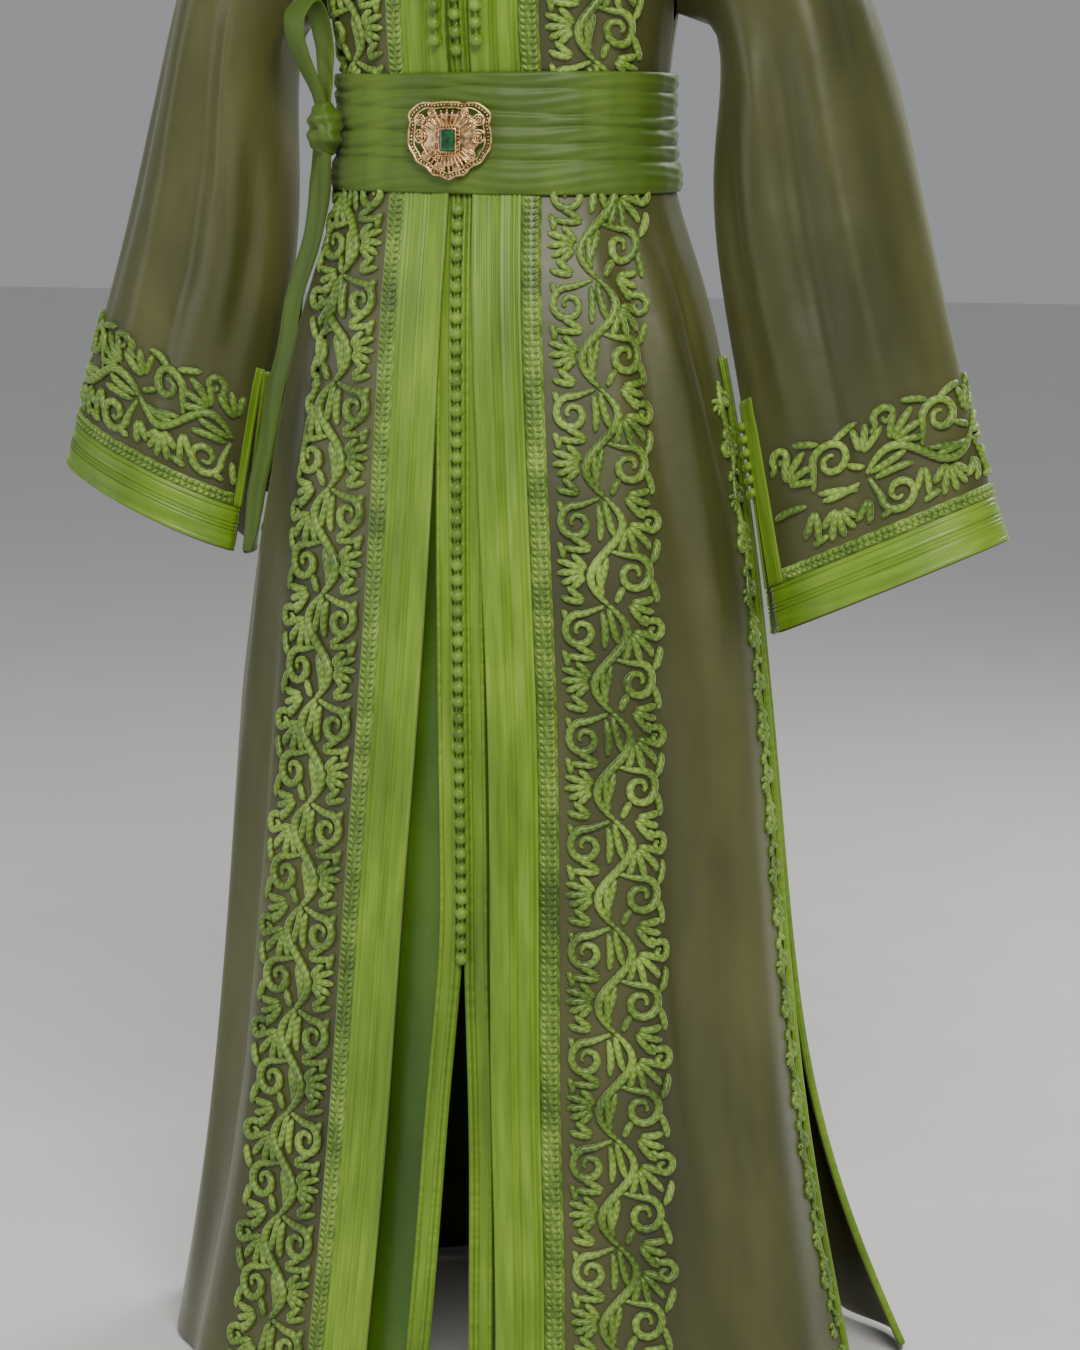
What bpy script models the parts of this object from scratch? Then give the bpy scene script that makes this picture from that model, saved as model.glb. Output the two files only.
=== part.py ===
"""A two-layer kaftan: an open embroidered robe over a buttoned under-dress, with a pleated sash.

Heights are measured up from the hem, and the finished part hangs from its shoulder line at z = 0.
The front faces -Y. "left" and "right" are the wearer's, so left is +X.
"""

import math

import bmesh
import bpy
import numpy as np
from mathutils import Vector

# Driving sizes, in metres
SHOULDER_HEIGHT = 1.54
UNDERARM_HEIGHT = 1.22
NECK_HALF_WIDTH = 0.075
NECK_BACK_DEPTH = 0.060
SHOULDER_SLOPE = 0.39
SEAM_GAP = 0.0003
STITCH_GAP = 0.0007
ROBE_WALL = 0.0016
UNDER_WALL = 0.0012
TRIM_WALL = 0.0012

BAND_WIDTH = 0.043
BRAID_WIDTH = 0.018
EMBROIDERY_WIDTH = 0.106
SCALLOP_PITCH = 0.093
SIDE_TRIM_WIDTH = 0.008
SIDE_EMBROIDERY_WIDTH = 0.032
SIDE_SLIT_TOP = 0.930

UNDER_BAND_WIDTH = 0.0215
FRONT_SLIT_TOP = 0.401
BEAD_RADIUS = 0.0054
BEAD_NECK_RADIUS = 0.0028
BEAD_SIDES = 6

BELT_BOTTOM = 1.066
BELT_TOP = 1.172
BELT_CLEARANCE = 0.0038
BELT_WALL = 0.0022

# Body sections: height, half width, front depth, back depth
BODY_SECTIONS = np.array([
    (0.000, 0.318, 0.236, 0.330),
    (0.062, 0.306, 0.225, 0.300),
    (0.144, 0.290, 0.210, 0.270),
    (0.250, 0.273, 0.198, 0.250),
    (0.410, 0.256, 0.185, 0.228),
    (0.588, 0.242, 0.172, 0.205),
    (0.744, 0.226, 0.160, 0.185),
    (0.868, 0.207, 0.146, 0.165),
    (0.930, 0.196, 0.138, 0.156),
    (0.992, 0.181, 0.128, 0.144),
    (1.0575, 0.157, 0.112, 0.118),
    (1.120, 0.143, 0.104, 0.104),
    (1.160, 0.149, 0.110, 0.107),
    (1.190, 0.152, 0.116, 0.110),
    (1.220, 0.157, 0.122, 0.112),
])

# Yoke rows above the underarm: share of the way up, front edge x, half width, armhole angle, depths
YOKE_ROWS = np.array([
    (0.0, 0.006, 0.157, 90.0, 0.122, 0.112),
    (0.2, 0.010, 0.176, 68.0, 0.128, 0.114),
    (0.4, 0.020, 0.188, 61.0, 0.124, 0.110),
    (0.6, 0.036, 0.194, 60.0, 0.104, 0.098),
    (0.8, 0.056, 0.196, 66.0, 0.068, 0.068),
    (1.0, NECK_HALF_WIDTH, 0.190, 90.0, 0.0, 0.0),
])

# Front edges: height, x of the right front's edge, x of the left front's, x of the button line
FRONT_EDGES = np.array([
    (0.000, -0.060, 0.066, 0.019),
    (0.085, -0.055, 0.062, 0.019),
    (0.280, -0.0444, 0.0494, 0.019),
    (0.455, -0.0355, 0.0445, 0.0186),
    (0.603, -0.0254, 0.0403, 0.0132),
    (0.769, -0.0171, 0.0289, 0.0078),
    (0.891, -0.0153, 0.0189, 0.0040),
    (1.058, -0.0146, 0.0066, -0.0040),
    (1.220, -0.0146, 0.0066, -0.0040),
])

# Folds of the robe: angle, width in degrees, outward move at the hem, outward move at mid skirt
ROBE_FOLDS = np.array([
    (59.0, 6.0, -0.012, -0.014),
    (74.0, 7.0, 0.010, 0.008),
    (-50.0, 6.0, 0.010, 0.003),
    (-62.0, 6.0, -0.016, -0.004),
    (-80.0, 12.0, 0.006, 0.015),
    (112.0, 8.0, 0.016, 0.008),
    (128.0, 7.0, -0.020, -0.009),
    (143.0, 7.0, 0.018, 0.009),
    (157.0, 7.0, -0.022, -0.010),
    (171.0, 7.0, 0.016, 0.008),
    (-174.0, 7.0, -0.020, -0.009),
    (-159.0, 7.0, 0.020, 0.010),
    (-144.0, 7.0, -0.020, -0.009),
    (-128.0, 7.0, 0.018, 0.008),
    (-111.0, 7.0, -0.012, -0.006),
])

# Sleeve sections from the shoulder to the cuff: outer x, outer height, inner x, inner height, depth
LEFT_SLEEVE = np.array([
    (0.262, 1.385, 0.203, 1.205, 0.076),
    (0.318, 1.275, 0.200, 1.145, 0.073),
    (0.356, 1.160, 0.190, 1.080, 0.069),
    (0.385, 1.035, 0.197, 0.995, 0.065),
    (0.412, 0.925, 0.219, 0.885, 0.062),
    (0.433, 0.848, 0.234, 0.790, 0.060),
    (0.449, 0.800, 0.244, 0.722, 0.059),
    (0.460, 0.770, 0.250, 0.678, 0.059),
])
RIGHT_SLEEVE = np.array([
    (0.252, 1.390, 0.203, 1.205, 0.076),
    (0.300, 1.285, 0.206, 1.145, 0.073),
    (0.333, 1.160, 0.200, 1.080, 0.069),
    (0.365, 1.035, 0.202, 1.000, 0.065),
    (0.394, 0.945, 0.221, 0.905, 0.062),
    (0.411, 0.880, 0.234, 0.826, 0.060),
    (0.423, 0.842, 0.242, 0.768, 0.059),
    (0.431, 0.815, 0.247, 0.732, 0.059),
])
SLEEVE_SLIT_ROW = 5
SLEEVE_SLIT_ANGLE = 20.0
SLEEVE_SLIT_OPENING = 5.0
SLEEVE_COLUMNS = 20

# Sleeve folds: angle round the tube, width in degrees, outward move of the cloth above the embroidery
SLEEVE_FOLDS = np.array([
    (92.0, 12.0, -0.013),
    (68.0, 11.0, 0.008),
    (130.0, 14.0, 0.006),
    (250.0, 13.0, -0.012),
    (215.0, 13.0, 0.007),
])
SLEEVE_FOLD_ROWS = (1.0, 2.5, 4.0, 5.6)
SLEEVE_FOLD_SHARES = (0.5, 1.0, 0.8, 0.0)

SKIRT_ROWS = 10
PANEL_HEIGHTS = tuple(SCALLOP_PITCH * row for row in range(SKIRT_ROWS + 1)) + (
    0.992, 1.0575, 1.120, 1.160, 1.190, 1.220)
YOKE_SHARES = (0.2, 0.4, 0.6, 0.8, 1.0)

# Materials: name, colour, roughness, metallic
FINISHES = {
    "robe_satin": ((0.075, 0.080, 0.036), 0.42, 0.0),
    "embroidery_cord": ((0.14, 0.26, 0.05), 0.55, 0.0),
    "band_silk": ((0.17, 0.34, 0.03), 0.50, 0.0),
    "under_satin": ((0.035, 0.085, 0.008), 0.38, 0.0),
    "sash_silk": ((0.065, 0.15, 0.012), 0.45, 0.0),
    "gold": ((0.72, 0.50, 0.26), 0.30, 1.0),
    "green_glass": ((0.005, 0.10, 0.03), 0.10, 0.0),
}


def finish(name):
    """The named material, made the first time that it is asked for."""
    material = bpy.data.materials.get(name)
    if material:
        return material
    colour, roughness, metallic = FINISHES[name]
    material = bpy.data.materials.new(name)
    material.use_nodes = True
    shader = material.node_tree.nodes["Principled BSDF"]
    shader.inputs["Base Color"].default_value = (*colour, 1.0)
    shader.inputs["Roughness"].default_value = roughness
    shader.inputs["Metallic"].default_value = metallic
    return material


def column(table, height, index):
    """One column of a table, read between its rows."""
    return np.interp(height, table[:, 0], table[:, index])


def unit(vector):
    return vector / np.linalg.norm(vector)


def fold_move(angle, height):
    """Outward move of the robe's cloth at this angle and height."""
    if height > 0.95:
        return 0.0
    move = 0.0
    for centre, width, at_hem, at_middle in ROBE_FOLDS:
        away = (angle - centre + 180.0) % 360.0 - 180.0
        size = np.interp(height, (0.0, 0.55, 0.95), (at_hem, at_middle, 0.0))
        move += size * math.exp(-((away / width) ** 2))
    return move


def body_point(angle, height, out=0.0, flare=0.0):
    """A point of the body's skirt or bodice; the angle runs from the front (-Y) towards +X."""
    half_width = column(BODY_SECTIONS, height, 1) + flare
    front = column(BODY_SECTIONS, height, 2)
    back = column(BODY_SECTIONS, height, 3)
    turn = math.radians(angle)
    depth = front if math.cos(turn) > 0 else back
    normal = unit(np.array([math.sin(turn) / half_width, -math.cos(turn) / depth, 0.0]))
    point = np.array([half_width * math.sin(turn), -depth * math.cos(turn), height])
    return point + normal * (fold_move(angle, height) + out)


def surface_normal(surface, first, second, step_first, step_second):
    """Outward normal of a surface function by central differences."""
    across = surface(first + step_first, second) - surface(first - step_first, second)
    along = surface(first, second + step_second) - surface(first, second - step_second)
    return unit(np.cross(across, along))


def body_normal(angle, height):
    """Outward normal of the robe's cloth."""
    return surface_normal(body_point, angle, height, 0.5, 0.004)


def ring_normal(angle, height):
    """Level outward direction at one place of the body."""
    return unit(body_point(angle, height, 0.01) - body_point(angle, height))


def back_flare(height):
    """The back panel spreads wider than the fronts at its hem."""
    return 0.046 * max(0.0, 1.0 - height / 0.36) ** 2


def side_angle(height):
    """Angle of the side seam and of the fronts' side edges."""
    return float(np.interp(height, (0.0, SIDE_SLIT_TOP, UNDERARM_HEIGHT), (97.0, 95.0, 90.0)))


def edge_angle(x, height):
    """Angle at which the front of the body has this x."""
    return math.degrees(math.asin(x / column(BODY_SECTIONS, height, 1)))


def yoke_point(share, angle, side, back):
    """A point above the underarm; share 0 is the underarm and share 1 is the shoulder seam."""
    half_width = column(YOKE_ROWS, share, 2)
    depth = column(YOKE_ROWS, share, 5 if back else 4)
    turn = math.radians(angle)
    x = half_width * math.sin(turn)
    top_x = np.interp(abs(x), (NECK_HALF_WIDTH * share, half_width), (NECK_HALF_WIDTH, 0.19))
    top = SHOULDER_HEIGHT - (top_x - NECK_HALF_WIDTH) * SHOULDER_SLOPE
    y = depth * math.cos(turn)
    if back and abs(x) < NECK_HALF_WIDTH:
        y += share ** 6 * NECK_BACK_DEPTH * math.cos(math.pi / 2 * x / NECK_HALF_WIDTH) ** 2
    y = max(y, SEAM_GAP / 2)
    return np.array([side * x, y if back else -y, UNDERARM_HEIGHT + (top - UNDERARM_HEIGHT) * share])


class ClothGrid:
    """Rows and columns of points on the cloth, with the outward normal at each."""

    def __init__(self, points, normals):
        self.points = np.array(points)
        self.normals = np.array(normals)

    def rows(self):
        return self.points.shape[0] - 1

    def columns(self):
        return self.points.shape[1] - 1

    def at(self, row, col):
        """Point and normal between the grid's own, so that a trim lies flat on the cloth."""
        row = min(max(row, 0.0), self.rows())
        col = min(max(col, 0.0), self.columns())
        r = min(int(row), self.rows() - 1)
        c = min(int(col), self.columns() - 1)
        v = row - r
        u = col - c
        found = []
        for table in (self.points, self.normals):
            corner = table[r, c]
            opposite = table[r + 1, c + 1]
            if u >= v:
                beside = table[r, c + 1]
                found.append(corner + (beside - corner) * u + (opposite - beside) * v)
            else:
                above = table[r + 1, c]
                found.append(corner + (above - corner) * v + (opposite - above) * u)
        return found[0], unit(found[1])

    def lay(self, places):
        """A finer grid laid on this one; places is a table of (row, column) pairs."""
        pairs = [[self.at(row, col) for row, col in line] for line in places]
        return ClothGrid([[point for point, _ in line] for line in pairs],
                         [[normal for _, normal in line] for line in pairs])


def cloth_wall(name, grid, material, near, far, cells=None, relief=None):
    """A closed wall between two offsets from the grid's points; relief adds height to the outer side."""
    mesh = bmesh.new()
    corners = {}
    vertex_at = {}
    outward = {}
    for r in range(grid.rows() + 1):
        for c in range(grid.columns() + 1):
            place = Vector(grid.points[r, c] + grid.normals[r, c] * near)
            key = place_key(place)
            if key not in vertex_at:
                raised = relief(r, c) if relief else 0.0
                vertex_at[key] = mesh.verts.new(place)
                outward[key] = Vector(grid.normals[r, c] * (far - near + raised))
            corners[r, c] = vertex_at[key]
    for r in range(grid.rows()):
        for c in range(grid.columns()):
            if cells is None or cells(r, c):
                corner = corners[r, c]
                opposite = corners[r + 1, c + 1]
                beside = corners[r, c + 1]
                above = corners[r + 1, c]
                for triangle in ((corner, beside, opposite), (corner, opposite, above)):
                    if len(set(triangle)) == 3:
                        mesh.faces.new(triangle)
    loose = [vert for vert in mesh.verts if not vert.link_faces]
    bmesh.ops.delete(mesh, geom=loose, context="VERTS")
    skin = bmesh.ops.extrude_face_region(mesh, geom=mesh.faces[:], use_keep_orig=True)
    for vert in [item for item in skin["geom"] if isinstance(item, bmesh.types.BMVert)]:
        vert.co += outward[place_key(vert.co)]
    return finish_solid(name, mesh, material)


def place_key(place):
    return tuple(round(value, 6) for value in place)


def finish_solid(name, mesh, material):
    """Turns the faces out, drops the heights to the shoulder frame and links the object."""
    bmesh.ops.recalc_face_normals(mesh, faces=mesh.faces[:])
    if mesh.calc_volume(signed=True) < 0.0:
        bmesh.ops.reverse_faces(mesh, faces=mesh.faces[:])
    bmesh.ops.translate(mesh, vec=(0.0, 0.0, -SHOULDER_HEIGHT), verts=mesh.verts[:])
    data = bpy.data.meshes.new(name)
    mesh.to_mesh(data)
    mesh.free()
    data.shade_smooth()
    data.set_sharp_from_angle(angle=math.radians(50))
    data.materials.append(finish(material))
    solid = bpy.data.objects.new(name, data)
    bpy.context.scene.collection.objects.link(solid)
    return solid


def row_angles(start, end, arcs_of_total, height, side):
    """Angles along one row whose arc lengths from the start are given by arcs_of_total(total)."""
    angles = np.linspace(start, end, 60)
    line = np.array([body_point(side * angle, height) for angle in angles])
    lengths = np.concatenate(([0.0], np.cumsum(np.linalg.norm(np.diff(line, axis=0), axis=1))))
    return np.interp(arcs_of_total(lengths[-1]), lengths, angles)


# Distances from the front edge of the columns that the band, braid and embroidery share
EMBROIDERY_START = BAND_WIDTH + BRAID_WIDTH
STRIP_ARCS = np.concatenate((
    (0.0, BAND_WIDTH / 2, BAND_WIDTH),
    EMBROIDERY_START + EMBROIDERY_WIDTH * np.array([0.0, 1 / 3, 2 / 3, 1.0]),
))
# Distances from the side edge of the columns that the side trim and embroidery share
SIDE_ARCS = np.array([SIDE_TRIM_WIDTH + SIDE_EMBROIDERY_WIDTH, SIDE_TRIM_WIDTH, 0.0])
REST_CELLS = 5
FULL_STRIP_TOTAL = 0.195
FULL_SIDE_ROOM = 0.065


def front_arcs(total):
    """Distances of a front's columns from its edge; the strips narrow where the front is narrow."""
    strips = STRIP_ARCS * min(1.0, total / FULL_STRIP_TOTAL)
    room = total - strips[-1]
    sides = total - SIDE_ARCS * min(1.0, room / FULL_SIDE_ROOM)
    rest = strips[-1] + (sides[0] - strips[-1]) * np.arange(1, REST_CELLS) / REST_CELLS
    return np.concatenate((strips, rest, sides))


NECK_SEAM_REACH = 0.004


def seam_normal(side):
    """Outward normal on the shoulder seam."""
    return unit(np.array([side * SHOULDER_SLOPE, 0.0, 1.0]))


def yoke_row(share, start, end, count_or_shares, side, back, inset=0.0):
    """Points and normals of one row above the underarm."""
    points = []
    normals = []
    for part in count_or_shares:
        angle = start + (end - start) * part
        point = yoke_point(share, angle, side, back)
        if share >= 1.0 and abs(point[1]) < NECK_SEAM_REACH:
            normal = seam_normal(side)
        else:
            normal = surface_normal(lambda s, a: yoke_point(s, a, side, back), share, angle, 0.02, 1.0)
            normal = normal if (normal[1] > 0) == back else -normal
        points.append(point - normal * inset)
        normals.append(normal)
    return points, normals


def robe_front(side):
    """Grid of one front of the robe, from its front edge to the side seam."""
    points = []
    normals = []
    for height in PANEL_HEIGHTS:
        edge_x = column(FRONT_EDGES, height, 2) if side > 0 else -column(FRONT_EDGES, height, 1)
        seam = side_angle(height) - math.degrees(SEAM_GAP / 2 / 0.15)
        angles = row_angles(edge_angle(edge_x, height), seam, front_arcs, height, side)
        points.append([body_point(side * angle, height) for angle in angles])
        normals.append([body_normal(side * angle, height) for angle in angles])
    shares_across = front_arcs(0.20) / 0.20
    for share in YOKE_SHARES:
        half_width = column(YOKE_ROWS, share, 2)
        start = math.degrees(math.asin(column(YOKE_ROWS, share, 1) / half_width))
        end = column(YOKE_ROWS, share, 3)
        row = yoke_row(share, start, end, shares_across, side, False)
        points.append(row[0])
        normals.append(row[1])
    return ClothGrid(points, normals)


# Columns of the backs: shares of the way from the middle of the back to the side
BACK_SHARES = np.array([0.0, 0.065, 0.13, 0.20, 0.26, 0.33, 0.40, 0.50, 0.60, 0.70, 0.80, 0.90, 1.0])
UNDER_BACK_SHARES = np.array([0.0, 0.065, 0.13, 0.20, 0.26, 0.45, 0.70, 1.0])


def back_angles(side, shares):
    """Angles across a back, from this side angle round to the one that mirrors it."""
    half = (180.0 - side) * shares
    return np.concatenate((180.0 - half[::-1], 180.0 + half[1:]))


def robe_back():
    """Grid of the back of the robe, from the left side seam round to the right one."""
    points = []
    normals = []
    for height in PANEL_HEIGHTS:
        opening = float(np.interp(height, (0.0, 0.55, SIDE_SLIT_TOP), (7.0, 2.5, 0.0)))
        start = side_angle(height) + opening + math.degrees(SEAM_GAP / 2 / 0.15)
        flare = back_flare(height)
        angles = back_angles(start, BACK_SHARES)
        points.append([body_point(angle, height, 0.0, flare) for angle in angles])
        normals.append([body_normal(angle, height) for angle in angles])
    for share in YOKE_SHARES:
        end = column(YOKE_ROWS, share, 3)
        left = yoke_row(share, 0.0, end, BACK_SHARES[::-1], 1.0, True)
        right = yoke_row(share, 0.0, end, BACK_SHARES, -1.0, True)
        points.append(left[0] + right[0][1:])
        normals.append(left[1] + right[1][1:])
    return ClothGrid(points, normals)


SCALLOP_ROWS = 2
SCALLOP_IN = 0.40
SCALLOPED_ROWS = 16
SIDE_SCALLOP_IN = 0.30


def strip_places(top_row, columns_wide):
    """Places of a plain strip that runs up a panel, a row of them on each row of the panel."""
    return [[(float(row), col) for col in columns_wide] for row in range(top_row + 1)]


def scalloped_places(top_row, columns_wide, edge, inward):
    """Places of an embroidered border; its edge column lies inward on every second row."""
    places = []
    for step in range(SCALLOP_ROWS * min(top_row, SCALLOPED_ROWS)):
        line = list(columns_wide)
        if step % 2 == 0:
            line[edge] += inward
        places.append([(step / SCALLOP_ROWS, col) for col in line])
    plain = strip_places(top_row, columns_wide)
    return places + plain[min(top_row, SCALLOPED_ROWS):]


def panel_row(height):
    """Index of the panel row at this height."""
    return min(range(len(PANEL_HEIGHTS)), key=lambda row: abs(PANEL_HEIGHTS[row] - height))


def dress_front(side, name):
    """One front of the robe with its band, braid, embroidery and side trims."""
    grid = robe_front(side)
    cloth_wall(f"front_{name}", grid, "robe_satin", 0.0, -ROBE_WALL)
    top = grid.rows()
    last = grid.columns()
    outer = SEAM_GAP + TRIM_WALL
    band = grid.lay(strip_places(top, (0.0, 1.0, 1.96)))
    cloth_wall(f"front_band_{name}", band, "band_silk", SEAM_GAP, outer)
    braid = grid.lay(strip_places(top, (2.05, 2.5, 2.95)))
    cloth_wall(f"front_braid_{name}", braid, "embroidery_cord", STITCH_GAP, outer,
               relief=lambda r, c: 0.0010 if c == 1 else 0.0)
    stitched = grid.lay(scalloped_places(top, (3.04, 4.0, 5.0, 6.0), 3, -SCALLOP_IN))
    cloth_wall(f"front_embroidery_{name}", stitched, "embroidery_cord", STITCH_GAP, outer,
               relief=lambda r, c: 0.0012 if (r + c) % 2 else 0.0)
    slit_top = panel_row(SIDE_SLIT_TOP)
    trim = grid.lay(strip_places(slit_top, (last - 0.96, last)))
    cloth_wall(f"side_trim_{name}", trim, "band_silk", SEAM_GAP, outer)
    side = grid.lay(scalloped_places(slit_top, (last - 2.0, last - 1.5, last - 1.04), 0, SIDE_SCALLOP_IN))
    cloth_wall(f"side_embroidery_{name}", side, "embroidery_cord", STITCH_GAP, outer,
               relief=lambda r, c: 0.0010 if (r + c) % 2 else 0.0)


BACK_TRIM_SHARE = 0.2


def dress_back():
    """The back of the robe with the trim of its two side edges."""
    grid = robe_back()
    cloth_wall("back", grid, "robe_satin", 0.0, -ROBE_WALL)
    slit_top = panel_row(SIDE_SLIT_TOP)
    last = grid.columns()
    for name, columns_wide in (("left", (0.0, BACK_TRIM_SHARE)), ("right", (last - BACK_TRIM_SHARE, last))):
        trim = grid.lay(strip_places(slit_top, columns_wide))
        cloth_wall(f"back_side_trim_{name}", trim, "band_silk", SEAM_GAP, SEAM_GAP + TRIM_WALL)


ARMHOLE_GAP = 0.0005
ROW_STEP = 0.05


def armhole_point(angle, side):
    """The sleeve's first section follows the armhole; angle 0 is the underarm, 180 the shoulder."""
    share = (1.0 - math.cos(math.radians(angle))) / 2.0
    back = (angle % 360.0) > 180.0
    point = yoke_point(share, column(YOKE_ROWS, share, 3), side, back)
    if share < 1e-6 or share > 1 - 1e-6:
        point[1] = 0.0
    point[0] += side * ARMHOLE_GAP
    return point


def sleeve_point(row, angle, side, sections):
    """A point of the sleeve; row 0 is the armhole, each later row a section of the table."""
    turn = math.radians(angle)

    def section_point(place):
        index = place - 1.0
        rows = np.arange(len(sections))
        measures = [np.interp(index, rows, sections[:, k]) for k in range(5)]
        outer_x, outer_h, inner_x, inner_h, depth = measures
        middle = np.array([(outer_x + inner_x) / 2, 0.0, (outer_h + inner_h) / 2])
        half = np.array([(outer_x - inner_x) / 2, 0.0, (outer_h - inner_h) / 2])
        move = 0.0
        fold_share = np.interp(place, SLEEVE_FOLD_ROWS, SLEEVE_FOLD_SHARES)
        for centre, width, size in SLEEVE_FOLDS:
            away = (angle - centre + 180.0) % 360.0 - 180.0
            move += size * fold_share * math.exp(-((away / width) ** 2))
        spread = 1.0 + move / depth
        point = middle - half * math.cos(turn) + np.array([0.0, -depth * spread * math.sin(turn), 0.0])
        point[0] *= side
        return point

    if row >= 1.0:
        return section_point(row)
    return armhole_point(angle, side) * (1.0 - row) + section_point(1.0) * row


def sleeve_grid(side, sections):
    """Grid of a bell sleeve, whose first and last columns meet down to the top of its slit."""
    points = []
    normals = []
    count = len(sections)
    for row in range(count + 1):
        below = max(0, row - SLEEVE_SLIT_ROW) / (count - SLEEVE_SLIT_ROW)
        start = SLEEVE_SLIT_ANGLE + SLEEVE_SLIT_OPENING * below
        end = SLEEVE_SLIT_ANGLE + 360.0 - SLEEVE_SLIT_OPENING * below
        line = []
        outward = []
        for angle in np.linspace(start, end, SLEEVE_COLUMNS + 1):
            point = sleeve_point(row, angle, side, sections)
            if row == 0:
                centre = (armhole_point(0.0, side) + armhole_point(180.0, side)) / 2
                normal = unit(np.array([0.0, point[1] - centre[1], point[2] - centre[2]]))
            else:
                below_row = min(row + ROW_STEP, count)
                after = sleeve_point(row, angle + 1, side, sections)
                around = after - sleeve_point(row, angle - 1, side, sections)
                lower = sleeve_point(below_row, angle, side, sections)
                down = lower - sleeve_point(row - ROW_STEP, angle, side, sections)
                normal = unit(np.cross(around, down)) * -side
            line.append(point)
            outward.append(normal)
        points.append(line)
        normals.append(outward)
    return ClothGrid(points, normals)


CUFF_BAND_TOP = 7.32
CUFF_BRAID_TOP = 6.98
CUFF_EMBROIDERY_TOP = 5.80
CUFF_SCALLOP = 0.16
SLIT_BAND_TOP = 4.75


def dress_sleeve(side, name, sections):
    """One sleeve with the band, braid and embroidery of its cuff."""
    grid = sleeve_grid(side, sections)
    cloth_wall(f"sleeve_{name}", grid, "robe_satin", 0.0, -ROBE_WALL)
    last = len(sections)
    around = [float(col) for col in range(SLEEVE_COLUMNS + 1)]
    rows = [SLIT_BAND_TOP, SLEEVE_SLIT_ROW, 6.0, 7.0, CUFF_BAND_TOP, last]
    band = grid.lay([[(row, col) for col in around] for row in rows])
    edge = len(around) - 2
    cloth_wall(f"cuff_band_{name}", band, "band_silk", SEAM_GAP, SEAM_GAP + TRIM_WALL,
               cells=lambda r, c: r == len(rows) - 2 or c in (0, edge))
    between = [1.06] + around[2:-2] + [SLEEVE_COLUMNS - 1.06]
    braid_rows = [CUFF_BRAID_TOP, 7.0, CUFF_BAND_TOP - 0.05]
    braid = grid.lay([[(row, col) for col in between] for row in braid_rows])
    cloth_wall(f"cuff_braid_{name}", braid, "embroidery_cord", SEAM_GAP, SEAM_GAP + TRIM_WALL * 1.5)
    places = []
    for share in (0.0, 0.5, 1.0):
        line = []
        for index, col in enumerate(between):
            top = CUFF_EMBROIDERY_TOP + CUFF_SCALLOP * (index % 2)
            line.append((top + (CUFF_BRAID_TOP - 0.05 - top) * share, col))
        places.append(line)
    cloth_wall(f"cuff_embroidery_{name}", grid.lay(places), "embroidery_cord", STITCH_GAP,
               SEAM_GAP + TRIM_WALL, relief=lambda r, c: 0.0012 if (r + c) % 2 else 0.0)


# Under-dress: height, how far it lies inside the robe at the side, the front and the back
UNDER_INSETS = np.array([
    (0.000, 0.046, 0.012, 0.062),
    (0.500, 0.036, 0.009, 0.040),
    (0.930, 0.010, 0.0045, 0.012),
    (1.0575, 0.0050, 0.0050, 0.0050),
    (1.220, 0.0050, 0.0050, 0.0050),
])

# Edges of the under-dress's front slit: height, x of the right front's edge, x of the left front's
UNDER_SLIT = np.array([
    (0.000, -0.004, 0.038),
    (0.080, 0.0001, 0.0337),
    (0.280, 0.0082, 0.0263),
    (0.395, 0.0176, 0.0196),
])
UNDER_HEM = 0.012
UNDER_FRONT_CELLS = 7
UNDER_HEIGHTS = (UNDER_HEM, 0.080, 0.186, 0.279, FRONT_SLIT_TOP, 0.465, 0.603, 0.744, 0.837, 0.930,
                 0.992, 1.0575, 1.120, 1.160, 1.190, 1.220)
UNDER_YOKE_INSET = 0.0050
UNDER_ARMHOLE = 0.985


def under_point(angle, height):
    """A point of the under-dress, which follows the robe's sections without its folds."""
    half_width = column(BODY_SECTIONS, height, 1) - column(UNDER_INSETS, height, 1)
    front = column(BODY_SECTIONS, height, 2) - column(UNDER_INSETS, height, 2)
    back = column(BODY_SECTIONS, height, 3) - column(UNDER_INSETS, height, 3)
    turn = math.radians(angle)
    depth = front if math.cos(turn) > 0 else back
    return np.array([half_width * math.sin(turn), -depth * math.cos(turn), height])


def under_normal(angle, height):
    """Outward normal of the under-dress."""
    return surface_normal(under_point, angle, height, 0.5, 0.004)


def button_line(height):
    return float(column(FRONT_EDGES, height, 3))


def under_edge(height, side):
    """x of one under front's edge: the button line with half a seam gap, or the open slit below it."""
    if height < FRONT_SLIT_TOP - 1e-6:
        return float(column(UNDER_SLIT, height, 2 if side > 0 else 1))
    return button_line(height) + side * SEAM_GAP / 2


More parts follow.
